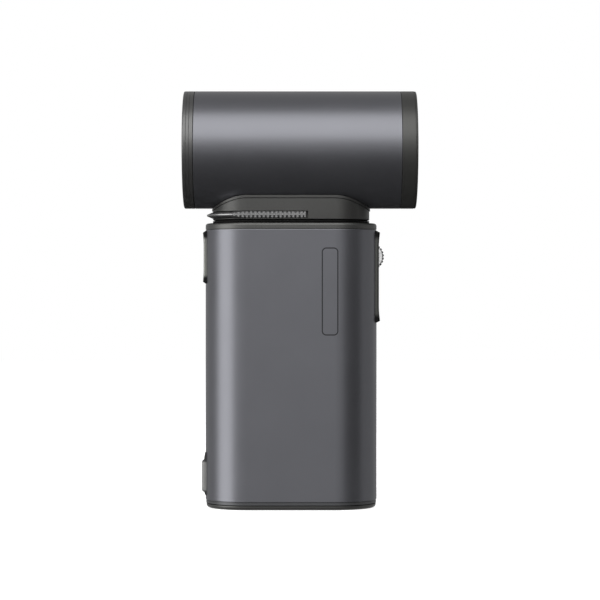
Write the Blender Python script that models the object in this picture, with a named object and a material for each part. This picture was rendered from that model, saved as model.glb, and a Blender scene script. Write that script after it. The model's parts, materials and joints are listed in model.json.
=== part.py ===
"""Handheld turbo air pump: a metal jet head on a short swivelling neck over a flat battery handle.

The origin is the middle of the foot on the swivel axis. +X is the blowing direction, +Y the back and +Z up.
"""

import math

import bmesh
import bpy
from mathutils import Matrix, Vector

MM = 0.001
GAP = 0.3 * MM
MERGE = 0.001 * MM

# Handle outline and its stack of pieces, from the foot up
HANDLE_WIDTH = 61.6 * MM
HANDLE_DEPTH = 33.0 * MM
SIDE_FLAT = 2.0 * MM
SLEEVE_HEIGHT = 96.9 * MM
SLEEVE_WALL = 1.3 * MM
FOOT_PROUD = 0.15 * MM
FOOT_PAD_HEIGHT = 0.85 * MM
BOTTOM_CAP_TOP = 1.6 * MM
BOTTOM_CAP_INSET = 0.3 * MM
BOTTOM_FILLET = 1.3 * MM
TRIM_RING_HEIGHT = 0.8 * MM
TRIM_RING_INSET = 0.2 * MM
TOP_CAP_HEIGHT = 2.0 * MM
TOP_CAP_FILLET = 0.8 * MM
NECK_LIFT = 1.2 * MM

HANDLE_HALF_X = HANDLE_WIDTH / 2
HANDLE_HALF_Y = HANDLE_DEPTH / 2
HANDLE_CORNER = HANDLE_HALF_Y - SIDE_FLAT / 2
TRIM_RING_BOTTOM = BOTTOM_CAP_TOP + GAP
TRIM_RING_TOP = TRIM_RING_BOTTOM + TRIM_RING_HEIGHT
SLEEVE_BOTTOM = TRIM_RING_TOP + GAP
SLEEVE_TOP = SLEEVE_BOTTOM + SLEEVE_HEIGHT
CAP_BOTTOM = SLEEVE_TOP + GAP
CAP_TOP = CAP_BOTTOM + TOP_CAP_HEIGHT
NECK_BOTTOM = CAP_TOP + NECK_LIFT

# Engraved outline on the front face, with nothing inside it
BADGE_X = 14.0 * MM
BADGE_Z = 77.7 * MM
BADGE_WIDTH = 5.6 * MM
BADGE_HEIGHT = 31.2 * MM
BADGE_CORNER = 1.6 * MM
BADGE_LINE = 0.36 * MM
BADGE_DEPTH = 0.25 * MM

# Chassis that slides into the sleeve and carries the cells and boards
CHASSIS_WALL = 1.0 * MM
DECK_HEIGHT = 1.2 * MM
LOWER_DECK_BOTTOM = 7.6 * MM
SCREW_BOSS_RADIUS = 2.4 * MM
SCREW_SHANK_RADIUS = 1.0 * MM
SCREW_HEAD_RADIUS = 1.9 * MM
SCREW_HEAD_HEIGHT = 0.9 * MM
BOTTOM_SCREW_X = 14.0 * MM

CHASSIS_INSET = SLEEVE_WALL + GAP
CHASSIS_BOTTOM = SLEEVE_BOTTOM + GAP
LOWER_DECK_TOP = LOWER_DECK_BOTTOM + DECK_HEIGHT

# Battery: two standard cells side by side between two nickel strips
CELL_RADIUS = 10.6 * MM
CELL_LENGTH = 70.5 * MM
CELL_SPACING = 0.6 * MM
STRIP_THICKNESS = 0.3 * MM
STRIP_HALF_Y = 4.0 * MM

CELL_X = CELL_RADIUS + CELL_SPACING / 2
STRIP_BOTTOM = LOWER_DECK_TOP + GAP
CELL_BOTTOM = STRIP_BOTTOM + STRIP_THICKNESS + GAP
CELL_TOP = CELL_BOTTOM + CELL_LENGTH
TOP_STRIP_BOTTOM = CELL_TOP + GAP
UPPER_DECK_BOTTOM = TOP_STRIP_BOTTOM + STRIP_THICKNESS + GAP
UPPER_DECK_TOP = UPPER_DECK_BOTTOM + DECK_HEIGHT
BOARD_BOTTOM = UPPER_DECK_TOP + GAP

# Side inserts: the control panel (+X) and the button frame (-X)
INSERT_HALF_Y = 5.0 * MM
INSERT_DEPTH = 4.7 * MM
INSERT_TOP_DROP = 0.3 * MM
PANEL_HEIGHT = 33.1 * MM
PANEL_PROUD = 0.75 * MM
PANEL_TIP_PROUD = 1.15 * MM
FRAME_HEIGHT = 19.1 * MM
FRAME_PROUD = 0.6 * MM
FRAME_TIP_PROUD = 0.85 * MM
TIP_LENGTH = 5.5 * MM

PANEL_TOP = SLEEVE_TOP - INSERT_TOP_DROP
PANEL_BOTTOM = PANEL_TOP - PANEL_HEIGHT
FRAME_BOTTOM = PANEL_TOP - FRAME_HEIGHT
PLUG_HALF_X = HANDLE_HALF_X - INSERT_DEPTH - GAP
CHASSIS_TOP = SLEEVE_TOP - 3.4 * MM

# Speed wheel
DIAL_RADIUS = 5.1 * MM
DIAL_HALF_Y = 2.4 * MM
DIAL_INSET = 2.4 * MM
DIAL_DROP = 9.6 * MM
DIAL_NOTCHES = 18
DIAL_NOTCH_DEPTH = 0.25 * MM
AXLE_RADIUS = 0.75 * MM
AXLE_HALF_LENGTH = 4.2 * MM
DIAL_CLEARANCE = 0.45 * MM

DIAL_X = HANDLE_HALF_X - DIAL_INSET
DIAL_Z = SLEEVE_TOP - DIAL_DROP

# Display under the wheel
DISPLAY_HALF_Y = 3.1 * MM
DISPLAY_HEIGHT = 12.4 * MM
DISPLAY_Z = PANEL_BOTTOM + 9.6 * MM
DISPLAY_GLASS = 0.7 * MM
DISPLAY_MODULE_DEPTH = 2.4 * MM

# Power button
BUTTON_RADIUS = 3.7 * MM
BUTTON_TRAVEL = 0.5 * MM
BUTTON_Z = FRAME_BOTTOM + 6.6 * MM
BUTTON_HEIGHT = 2.0 * MM
BUTTON_STEM_RADIUS = 1.4 * MM
SWITCH_SIZE = 4.4 * MM
SWITCH_HEIGHT = 1.8 * MM
SWITCH_BOARD_THICKNESS = 1.0 * MM

# Charging port low on the left and its hinged cover
PORT_Z = 11.25 * MM
PORT_WIDTH = 8.94 * MM
PORT_HEIGHT = 3.26 * MM
PORT_LENGTH = 6.6 * MM
PORT_WALL = 0.3 * MM
PORT_INSET = 1.9 * MM
COVER_BOTTOM = 4.7 * MM
COVER_HINGE_Z = 19.4 * MM
COVER_HALF_Y = 4.5 * MM
COVER_THICKNESS = 1.2 * MM
COVER_BUMP_PROUD = 0.8 * MM
COVER_BUMP_HEIGHT = 11.1 * MM

# Neck
NECK_HALF_X = 28.2 * MM
NECK_HALF_Y = 13.1 * MM
NECK_CORNER = 12.6 * MM
NECK_HEIGHT_AT_MIDDLE = 4.25 * MM
NECK_FLOOR = 1.2 * MM
COLLAR_THICKNESS = 0.7 * MM
COLLAR_PROUD = 0.3 * MM
COLLAR_WALL = 2.6 * MM
COLLAR_GROOVE = 0.5 * MM

# Swivel
SPINDLE_RADIUS = 6.0 * MM
SPINDLE_BORE = 4.0 * MM
SPINDLE_FLANGE_RADIUS = 9.0 * MM
SPINDLE_FLANGE = 1.5 * MM
WASHER_INSET = 1.0 * MM
DETENT_RADIUS = 9.0 * MM
DETENT_THICKNESS = 0.7 * MM
DETENT_NOTCHES = 12
NUT_RADIUS = 8.2 * MM
NUT_THICKNESS = 1.0 * MM
NECK_CAVITY_RADIUS = DETENT_RADIUS + 2 * GAP

# Swivel release: a U-shaped slider with a V edge round the neck's left end
RELEASE_TRAVEL = 0.6 * MM
RELEASE_HALF_HEIGHT = 1.15 * MM
RELEASE_APEX = 0.25 * MM
RELEASE_Z = NECK_BOTTOM + 1.75 * MM
RELEASE_SIDE_PROUD = 0.5 * MM
RELEASE_END_PROUD = 2.2 * MM
RELEASE_SIDE_DEPTH = 2.0 * MM
RELEASE_END_DEPTH = 3.0 * MM
RELEASE_LEG_END = 5.2 * MM
RELEASE_FLANK = 0.9 * MM
RELEASE_NOTCHES = 17
RELEASE_PITCH = 1.5 * MM
RELEASE_NOTCH_WIDTH = 0.6 * MM
RELEASE_NOTCH_DEPTH = 0.45 * MM

# Head
HEAD_RADIUS = 21.15 * MM
HEAD_LENGTH = 83.5 * MM
HEAD_CENTRE_X = 3.2 * MM
TUBE_WALL = 1.2 * MM
INTAKE_RING_LENGTH = 3.9 * MM
OUTLET_RING_LENGTH = 5.4 * MM
RING_EDGE = 0.4 * MM
SEAM_EDGE = 0.15 * MM

HEAD_AXIS_Z = NECK_BOTTOM + NECK_HEIGHT_AT_MIDDLE + HEAD_RADIUS
HEAD_LEFT = HEAD_CENTRE_X - HEAD_LENGTH / 2
HEAD_RIGHT = HEAD_CENTRE_X + HEAD_LENGTH / 2
TUBE_LEFT = HEAD_LEFT + INTAKE_RING_LENGTH + GAP
TUBE_RIGHT = HEAD_RIGHT - OUTLET_RING_LENGTH - GAP
TUBE_BORE = HEAD_RADIUS - TUBE_WALL

# Duct, rubber isolators and clamp plate, all between the bore of the tube and the air way
DUCT_WALL = 1.0 * MM
ISOLATOR_THICKNESS = 0.75 * MM
ISOLATOR_WIDTH = 5.0 * MM
SPIGOT_LENGTH = 3.0 * MM
CLAMP_HALF_X = 20.0 * MM
CLAMP_HALF_Y = 8.5 * MM
NECK_SCREW_X = 16.0 * MM
NECK_SCREW_Y = 5.0 * MM

ISOLATOR_RADIUS = TUBE_BORE - GAP
DUCT_RADIUS = ISOLATOR_RADIUS - ISOLATOR_THICKNESS - GAP
DUCT_BORE = DUCT_RADIUS - DUCT_WALL

# Motor pod, stator vanes and tail cone
POD_RADIUS = 9.5 * MM
POD_WALL = 1.0 * MM
POD_FRONT = -11.7 * MM
POD_BACK = 12.0 * MM
VANE_COUNT = 9
VANE_FRONT = -6.0 * MM
VANE_BACK = 8.0 * MM
VANE_THICKNESS = 1.1 * MM
STRUT_THICKNESS = 4.2 * MM
STATOR_RING_WALL = 0.7 * MM
CONE_LENGTH = 15.7 * MM
SHAFT_RADIUS = 1.0 * MM
SHAFT_BACK = 6.8 * MM
BEARING_RADIUS = 3.2 * MM
BEARING_WIDTH = 2.0 * MM
BOSS_WALL = 1.1 * MM
CORE_FRONT = -7.0 * MM
CORE_BACK = -3.0 * MM
CORE_BORE = 3.5 * MM
SLOT_COUNT = 6
MAGNET_RADIUS = 3.1 * MM
BOARD_THICKNESS = 1.0 * MM
LEAD_RADIUS = 1.0 * MM
LEAD_JOINT_Z = 92.0 * MM

POD_BORE = POD_RADIUS - POD_WALL
MOTOR_FIT_RADIUS = POD_BORE - GAP
BOSS_BORE = BEARING_RADIUS + GAP
BOSS_RADIUS = BOSS_BORE + BOSS_WALL

# Impeller
BLADE_COUNT = 11
HUB_RADIUS = 8.5 * MM
HUB_LENGTH = 11.7 * MM
BLADE_TIP_GAP = 0.4 * MM
BLADE_THICKNESS = 0.9 * MM
HUB_BACK = POD_FRONT - 2 * GAP
HUB_FRONT = HUB_BACK - HUB_LENGTH

# Intake filter cap
INTAKE_MOUTH_RADIUS = 16.6 * MM
INTAKE_LIP = 2.0 * MM
INTAKE_SPIGOT_WALL = 1.4 * MM
GRILLE_THICKNESS = 1.0 * MM
GRILLE_RING_WIDTH = 0.9 * MM
GRILLE_RINGS = 2
GRILLE_SPOKES = 6
FILTER_THICKNESS = 0.4 * MM
FILTER_HOLE_RADIUS = 2.2 * MM
FILTER_HOLE_PITCH = 6.2 * MM
MAGNET_RING_THICKNESS = 1.2 * MM
KEEPER_THICKNESS = 0.8 * MM

# Facets round each turned piece
FINE = 40
MEDIUM = 20
CORNER_STEPS = 6

MATERIALS = {
    "anodised": ((0.13, 0.135, 0.15), 1.0, 0.35),
    "dark_plastic": ((0.04, 0.04, 0.038), 0.0, 0.45),
    "black_plastic": ((0.012, 0.012, 0.012), 0.0, 0.35),
    "trim_metal": ((0.6, 0.6, 0.62), 1.0, 0.25),
    "steel": ((0.5, 0.5, 0.5), 1.0, 0.35),
    "rubber": ((0.02, 0.02, 0.02), 0.0, 0.8),
    "grey_plastic": ((0.25, 0.25, 0.26), 0.0, 0.5),
    "smoked_window": ((0.01, 0.01, 0.012), 0.0, 0.08),
    "circuit_board": ((0.02, 0.09, 0.04), 0.0, 0.5),
    "copper": ((0.7, 0.3, 0.15), 1.0, 0.35),
    "nickel": ((0.6, 0.58, 0.52), 1.0, 0.3),
    "cell_wrap": ((0.05, 0.18, 0.4), 0.0, 0.4),
    "magnet": ((0.15, 0.15, 0.16), 1.0, 0.4),
    "aluminium": ((0.55, 0.56, 0.57), 1.0, 0.4),
    "filter_cloth": ((0.03, 0.03, 0.03), 0.0, 0.85),
    "lead_sheath": ((0.02, 0.02, 0.02), 0.0, 0.6),
}


def clear_scene():
    for obj in list(bpy.data.objects):
        bpy.data.objects.remove(obj, do_unlink=True)


def make_material(slot):
    """The material of a slot, made once."""
    material = bpy.data.materials.get(slot)
    if material:
        return material
    color, metallic, roughness = MATERIALS[slot]
    material = bpy.data.materials.new(slot)
    material.use_nodes = True
    shader = material.node_tree.nodes["Principled BSDF"]
    shader.inputs["Base Color"].default_value = (*color, 1.0)
    shader.inputs["Metallic"].default_value = metallic
    shader.inputs["Roughness"].default_value = roughness
    return material


def make_axis(name, location, parent=None):
    """An empty on a joint's axis. The pieces that move on it are its children."""
    empty = bpy.data.objects.new(name, None)
    bpy.context.scene.collection.objects.link(empty)
    empty.location = location
    empty.parent = parent
    return empty


def add_piece(name, bm, slot, parent, smooth=True):
    """Turns a bmesh into a named object with its material, under the empty of its body."""
    bmesh.ops.remove_doubles(bm, verts=bm.verts, dist=MERGE)
    bmesh.ops.recalc_face_normals(bm, faces=bm.faces)
    mesh = bpy.data.meshes.new(name)
    bm.to_mesh(mesh)
    bm.free()
    mesh.materials.append(make_material(slot))
    mesh.polygons.foreach_set("use_smooth", [smooth] * len(mesh.polygons))
    obj = bpy.data.objects.new(name, mesh)
    bpy.context.scene.collection.objects.link(obj)
    obj.parent = parent
    return obj


def combine(target, name, bm, operation):
    """Cuts or joins a helper solid. The helper's coordinates are those of the target."""
    bmesh.ops.remove_doubles(bm, verts=bm.verts, dist=MERGE)
    bmesh.ops.recalc_face_normals(bm, faces=bm.faces)
    mesh = bpy.data.meshes.new(name)
    bm.to_mesh(mesh)
    bm.free()
    helper = bpy.data.objects.new(name, mesh)
    bpy.context.scene.collection.objects.link(helper)
    helper.parent = target.parent
    helper.hide_render = True
    helper.display_type = "WIRE"
    modifier = target.modifiers.new(name, "BOOLEAN")
    modifier.operation = operation
    modifier.solver = "EXACT"
    modifier.object = helper


def cut(target, name, bm):
    combine(target, name, bm, "DIFFERENCE")


def join(target, name, bm):
    combine(target, name, bm, "UNION")


def add_loops(bm, loops, closed=False):
    """Skins a stack of outlines. An open stack gets an end face at each end, a closed one is a ring."""
    rows = [[bm.verts.new(point) for point in loop] for loop in loops]
    pairs = list(zip(rows, rows[1:]))
    if closed:
        pairs.append((rows[-1], rows[0]))
    for low, high in pairs:
        for i in range(len(low)):
            j = (i + 1) % len(low)
            bm.faces.new((low[i], low[j], high[j], high[i]))
    if not closed:
        bm.faces.new(rows[0])
        bm.faces.new(rows[-1])
    return bm


def add_box(bm, x0, x1, y0, y1, z0, z1):
    low = [(x0, y0, z0), (x1, y0, z0), (x1, y1, z0), (x0, y1, z0)]
    high = [(x, y, z1) for x, y, z in low]
    return add_loops(bm, [low, high])


def box(x0, x1, y0, y1, z0, z1):
    return add_box(bmesh.new(), x0, x1, y0, y1, z0, z1)


def rounded_outline(half_x, half_y, radius, steps=CORNER_STEPS):
    """Corner points of a rounded rectangle round the origin, anticlockwise."""
    points = []
    corners = ((1, 1, 0), (-1, 1, 90), (-1, -1, 180), (1, -1, 270))
    for side_x, side_y, start in corners:
        for step in range(steps + 1):
            angle = math.radians(start + 90 * step / steps)
            x = side_x * (half_x - radius) + radius * math.cos(angle)
            y = side_y * (half_y - radius) + radius * math.sin(angle)
            points.append((x, y))
    return points


def at_height(points, z):
    return [(x, y, z) for x, y in points]


def handle_outline(inset, z):
    """The handle's plan shape, drawn in by an inset."""
    points = rounded_outline(HANDLE_HALF_X - inset, HANDLE_HALF_Y - inset, HANDLE_CORNER - inset)
    return at_height(points, z)


def neck_outline(inset, z):
    points = rounded_outline(NECK_HALF_X - inset, NECK_HALF_Y - inset, NECK_CORNER - inset)
    return at_height(points, z)


def turned(bm, profile, segments, turn=Matrix.Identity(4)):
    """Spins a profile of (distance along the axis, radius) points about Z, then turns it."""
    verts = [bm.verts.new((radius, 0, along)) for along, radius in profile]
    edges = [bm.edges.new((verts[i], verts[i - 1])) for i in range(len(verts))]
    open_profile = profile[0][1] == 0 and profile[-1][1] == 0
    if open_profile:
        bm.edges.remove(edges[0])
        edges = edges[1:]
    bmesh.ops.spin(
        bm,
        geom=verts + edges,
        cent=(0, 0, 0),
        axis=(0, 0, 1),
        angle=2 * math.pi,
        steps=segments,
        use_merge=True,
    )
    bmesh.ops.remove_doubles(bm, verts=bm.verts, dist=MERGE)
    bmesh.ops.transform(bm, matrix=turn, verts=bm.verts)
    return bm


ALONG_X = Matrix.Rotation(math.pi / 2, 4, "Y")
ALONG_Y = Matrix.Rotation(-math.pi / 2, 4, "X")


def turned_x(profile, segments):
    return turned(bmesh.new(), profile, segments, ALONG_X)


def ring(low, high, inner, outer):
    """The profile of a plain ring between two distances along its axis."""
    return [(low, inner), (low, outer), (high, outer), (high, inner)]


def disc(low, high, radius):
    return [(low, 0), (low, radius), (high, radius), (high, 0)]


def rod(x, y, low, high, radius, segments):
    """A vertical cylinder."""
    return turned(bmesh.new(), disc(low, high, radius), segments, Matrix.Translation((x, y, 0)))


def screw(x, y, head_z, tip_z):
    """A flat-headed screw pointing up, with its head at head_z and a hexagon socket."""
    head_top = head_z + SCREW_HEAD_HEIGHT
    socket_radius = SCREW_HEAD_RADIUS * 0.45
    socket_depth = SCREW_HEAD_HEIGHT * 0.6
    profile = [
        (head_z + socket_depth, 0),
        (head_z + socket_depth, socket_radius),
        (head_z, socket_radius),
        (head_z, SCREW_HEAD_RADIUS),
        (head_top, SCREW_HEAD_RADIUS),
        (head_top, SCREW_SHANK_RADIUS),
        (tip_z, SCREW_SHANK_RADIUS),
        (tip_z, 0),
    ]
    return turned(bmesh.new(), profile, 12, Matrix.Translation((x, y, 0)))


def make_sleeve(body):
    """The metal sleeve: side cuts for both inserts and the port cover, and the engraved outline."""
    loops = [
        handle_outline(SEAM_EDGE, SLEEVE_BOTTOM),
        handle_outline(0, SLEEVE_BOTTOM + SEAM_EDGE),
        handle_outline(0, SLEEVE_TOP - SEAM_EDGE),
        handle_outline(SEAM_EDGE, SLEEVE_TOP),
        handle_outline(SLEEVE_WALL, SLEEVE_TOP),
        handle_outline(SLEEVE_WALL, SLEEVE_BOTTOM),
    ]
    sleeve = add_piece("body_sleeve", add_loops(bmesh.new(), loops, closed=True), "anodised", body)
    reach = INSERT_HALF_Y + GAP
    outside = HANDLE_HALF_X + 5 * MM
    inside = HANDLE_HALF_X - INSERT_DEPTH
    above = SLEEVE_TOP + 5 * MM
    cut(sleeve, "panel_cut", box(inside, outside, -reach, reach, PANEL_BOTTOM - GAP, above))
    cut(sleeve, "frame_cut", box(-outside, -inside, -reach, reach, FRAME_BOTTOM - GAP, above))
    side = COVER_HALF_Y + GAP
    top = COVER_HINGE_Z + COVER_THICKNESS / 2 + GAP
    cut(sleeve, "cover_cut", box(-outside, -inside, -side, side, COVER_BOTTOM - GAP, top))
    cut(sleeve, "badge_groove", badge_groove())


def badge_groove():
    """A thin rounded ring that scores the sleeve's front face."""
    loops = []
    face = -HANDLE_HALF_Y
    floor = face + BADGE_DEPTH
    for inset, y in ((0, face - MM), (0, floor), (BADGE_LINE, floor), (BADGE_LINE, face - MM)):
        points = rounded_outline(BADGE_WIDTH / 2 - inset, BADGE_HEIGHT / 2 - inset, BADGE_CORNER - inset, 5)
        loops.append([(BADGE_X + x, y, BADGE_Z + z) for x, z in points])
    return add_loops(bmesh.new(), loops, closed=True)


def make_chassis(body):
    """A tube inside the sleeve with two decks, the wells of the cells between them."""
    loops = [
        handle_outline(CHASSIS_INSET, CHASSIS_BOTTOM),
        handle_outline(CHASSIS_INSET, CHASSIS_TOP),
        handle_outline(CHASSIS_INSET + CHASSIS_WALL, CHASSIS_TOP),
        handle_outline(CHASSIS_INSET + CHASSIS_WALL, CHASSIS_BOTTOM),
    ]
    chassis = add_piece("chassis", add_loops(bmesh.new(), loops, closed=True), "black_plastic", body)
    overlap = CHASSIS_INSET + CHASSIS_WALL / 2
    for name, low, high in (
        ("lower_deck", LOWER_DECK_BOTTOM, LOWER_DECK_TOP),
        ("upper_deck", UPPER_DECK_BOTTOM, UPPER_DECK_TOP),
    ):
        deck = [handle_outline(overlap, low), handle_outline(overlap, high)]
        join(chassis, name, add_loops(bmesh.new(), deck))
    boss_bottom = BOTTOM_CAP_TOP + 4 * GAP
    for name, x in (("left_boss", -BOTTOM_SCREW_X), ("right_boss", BOTTOM_SCREW_X)):
        join(chassis, name, rod(x, 0, boss_bottom, LOWER_DECK_BOTTOM + GAP, SCREW_BOSS_RADIUS, 16))
    for name, x in (("left_bore", -BOTTOM_SCREW_X), ("right_bore", BOTTOM_SCREW_X)):
        cut(chassis, name, rod(x, 0, 0, LOWER_DECK_BOTTOM - GAP, SCREW_SHANK_RADIUS + GAP, 12))
    reach = INSERT_HALF_Y + GAP
    outside = HANDLE_HALF_X
    inside = HANDLE_HALF_X - INSERT_DEPTH - GAP
    above = SLEEVE_TOP
    cut(chassis, "panel_gap", box(inside, outside, -reach, reach, PANEL_BOTTOM - GAP, above))
    cut(chassis, "frame_gap", box(-outside, -inside, -reach, reach, FRAME_BOTTOM - GAP, above))
    cut(chassis, "port_gap", port_gap())
    wire_well = rod(0, 0, UPPER_DECK_BOTTOM - MM, UPPER_DECK_TOP + MM, 2 * MM, 16)
    cut(chassis, "wire_well", wire_well)


def port_gap():
    """Room for the charging socket, its board and the cover's plug."""
    inner = -HANDLE_HALF_X + PORT_INSET + PORT_LENGTH + 2 * GAP
    half_z = PORT_WIDTH / 2 + 2 * MM
    return box(-HANDLE_HALF_X, inner, -2.3 * MM, 3.4 * MM, PORT_Z - half_z, PORT_Z + half_z)


def make_caps(body):
    """Top and bottom caps, the trim ring and the foot pad."""
    low = TOP_CAP_FILLET
    loops = [
        handle_outline(SEAM_EDGE, CAP_BOTTOM),
        handle_outline(0, CAP_BOTTOM + SEAM_EDGE),
        handle_outline(0, CAP_TOP - low),
        handle_outline(low * 0.3, CAP_TOP - low * 0.3),
        handle_outline(low, CAP_TOP),
    ]
    cap = add_piece("top_cap", add_loops(bmesh.new(), loops), "dark_plastic", body)
    join(cap, "cap_plug", cap_plug())
    cut(cap, "spindle_bore", rod(0, 0, 0, CAP_TOP + MM, SPINDLE_RADIUS + GAP, MEDIUM))
    loops = [
        handle_outline(TRIM_RING_INSET, TRIM_RING_BOTTOM),
        handle_outline(TRIM_RING_INSET, TRIM_RING_TOP),
        handle_outline(SLEEVE_WALL, TRIM_RING_TOP),
        handle_outline(SLEEVE_WALL, TRIM_RING_BOTTOM),
    ]
    add_piece("bottom_trim_ring", add_loops(bmesh.new(), loops, closed=True), "grey_plastic", body)
    make_bottom_cap(body)


def cap_plug():
    """The wall under the top cap that centres it in the sleeve and stops short of both inserts."""
    half_y = HANDLE_HALF_Y - CHASSIS_INSET
    corner = half_y - SIDE_FLAT
    wall = CHASSIS_WALL
    outer = rounded_outline(PLUG_HALF_X, half_y, corner)
    inner = rounded_outline(PLUG_HALF_X - wall, half_y - wall, corner - wall)
    low = CHASSIS_TOP + GAP
    high = CAP_BOTTOM + SEAM_EDGE
    loops = [at_height(outer, low), at_height(outer, high), at_height(inner, high), at_height(inner, low)]
    return add_loops(bmesh.new(), loops, closed=True)


def make_bottom_cap(body):
    fillet = BOTTOM_FILLET
    inset = BOTTOM_CAP_INSET
    loops = []
    for share in (0, 0.25, 0.5, 0.75, 1):
        angle = math.radians(90 * share)
        drop = fillet * math.sin(angle)
        draw = fillet * (1 - math.cos(angle))
        loops.insert(0, handle_outline(inset + draw, FOOT_PROUD + fillet - drop))
    loops.append(handle_outline(inset, BOTTOM_CAP_TOP))
    cap = add_piece("bottom_cap", add_loops(bmesh.new(), loops), "dark_plastic", body)
    plug = [
        handle_outline(CHASSIS_INSET, BOTTOM_CAP_TOP - GAP),
        handle_outline(CHASSIS_INSET, BOTTOM_CAP_TOP + 2 * GAP),
    ]
    join(cap, "bottom_plug", add_loops(bmesh.new(), plug))
    pad_x = HANDLE_HALF_X - 8 * MM
    pad_y = HANDLE_HALF_Y - 5.5 * MM
    corner = pad_y - MM
    for name, x in (("left_hole", -BOTTOM_SCREW_X), ("right_hole", BOTTOM_SCREW_X)):
        cut(cap, name, rod(x, 0, -MM, 4 * MM, SCREW_SHANK_RADIUS + GAP, 12))
    seat = rounded_outline(pad_x + GAP, pad_y + GAP, corner + GAP, 8)
    pocket_top = FOOT_PAD_HEIGHT + GAP
    cut(cap, "pad_pocket", add_loops(bmesh.new(), [at_height(seat, -MM), at_height(seat, pocket_top)]))
    pad = rounded_outline(pad_x, pad_y, corner, 8)
    pad_piece = add_loops(bmesh.new(), [at_height(pad, 0), at_height(pad, FOOT_PAD_HEIGHT)])
    foot = add_piece("foot_pad", pad_piece, "rubber", body)
    head_z = FOOT_PAD_HEIGHT + GAP - SCREW_HEAD_HEIGHT
    for name, x in (("bottom_screw_left", -BOTTOM_SCREW_X), ("bottom_screw_right", BOTTOM_SCREW_X)):
        well = rod(x, 0, head_z - GAP, FOOT_PAD_HEIGHT + MM, SCREW_HEAD_RADIUS + GAP, 12)
        cut(foot, name + "_well", well)
        add_piece(name, screw(x, 0, head_z, LOWER_DECK_BOTTOM - 2 * GAP), "steel", body)


def make_battery(body):
    for name, x in (("battery_cell_left", -CELL_X), ("battery_cell_right", CELL_X)):
        edge = 0.5 * MM
        button = 2.8 * MM
        profile = [
            (CELL_BOTTOM, 0),
            (CELL_BOTTOM, CELL_RADIUS - edge),
            (CELL_BOTTOM + edge, CELL_RADIUS),
            (CELL_TOP - 1.4 * MM, CELL_RADIUS),
            (CELL_TOP - 0.9 * MM, CELL_RADIUS - edge),
            (CELL_TOP - 0.9 * MM, button),
            (CELL_TOP, button),
            (CELL_TOP, 0),
        ]
        piece = turned(bmesh.new(), profile, MEDIUM, Matrix.Translation((x, 0, 0)))
        add_piece(name, piece, "cell_wrap", body)
    reach = CELL_X + STRIP_HALF_Y
    for name, low in (("nickel_strip_bottom", STRIP_BOTTOM), ("nickel_strip_top", TOP_STRIP_BOTTOM)):
        strip = box(-reach, reach, -STRIP_HALF_Y, STRIP_HALF_Y, low, low + STRIP_THICKNESS)
        add_piece(name, strip, "nickel", body, smooth=False)


def make_boards(body):
    """The main board on the upper deck with its parts, and the wheel's sensor beside it."""
    high = BOARD_BOTTOM + 1.2 * MM
    left = -HANDLE_HALF_X + INSERT_DEPTH + 4.6 * MM
    board = box(left, 19.5 * MM, -11.5 * MM, 11.5 * MM, BOARD_BOTTOM, high)
    main = add_piece("main_board", board, "circuit_board", body, smooth=False)
    sink = high - 0.3 * MM
    join(main, "lead_socket", box(5 * MM, 10 * MM, -3 * MM, 3 * MM, sink, high + 3 * MM))
    join(main, "controller", box(-12 * MM, -5 * MM, -8 * MM, -1 * MM, sink, high + 1 * MM))
    join(main, "inductor", box(-16 * MM, -9 * MM, 2 * MM, 9 * MM, sink, high + 4 * MM))
    place = Matrix.Translation((14 * MM, 6 * MM, 0))
    join(main, "capacitor", turned(bmesh.new(), disc(sink, high + 8 * MM, 3 * MM), 16, place))
    sensor_x = DIAL_X - DIAL_RADIUS - DIAL_CLEARANCE
    sensor = box(sensor_x - 1.6 * MM, sensor_x, -3 * MM, 3 * MM, BOARD_BOTTOM, DIAL_Z + 3 * MM)
    add_piece("dial_sensor", sensor, "circuit_board", body, smooth=False)


def insert_outline(half_y, inner, outer, z, direction):
    """One level of a side insert: flat inside, rounded corners outside."""
    edge = 0.7 * MM
    steps = 4
    points = [(inner, -half_y)]
    for step in range(steps + 1):
        angle = math.radians(-90 + 90 * step / steps)
        points.append((outer - edge + edge * math.cos(angle), -half_y + edge + edge * math.sin(angle)))
    for step in range(steps + 1):
        angle = math.radians(90 * step / steps)
        points.append((outer - edge + edge * math.cos(angle), half_y - edge + edge * math.sin(angle)))
    points.append((inner, half_y))
    return [(direction * x, y, z) for x, y in points]


def insert_solid(low, high, proud, tip_proud, direction):
    """A long side insert whose outer face dips between two raised tips."""
    bm = bmesh.new()
    inner = HANDLE_HALF_X - INSERT_DEPTH
    face = HANDLE_HALF_X + proud
    tip = HANDLE_HALF_X + tip_proud
    ease = 0.35 * (tip - face)
    levels = [
        (low, face - 0.3 * MM),
        (low + 0.35 * MM, tip),
        (low + TIP_LENGTH * 0.45, face + ease),
        (low + TIP_LENGTH, face),
        (high - TIP_LENGTH, face),
        (high - TIP_LENGTH * 0.45, face + ease),
        (high - 0.35 * MM, tip),
        (high, face - 0.3 * MM),
    ]
    return add_loops(bm, [insert_outline(INSERT_HALF_Y, inner, x, z, direction) for z, x in levels])


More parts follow.
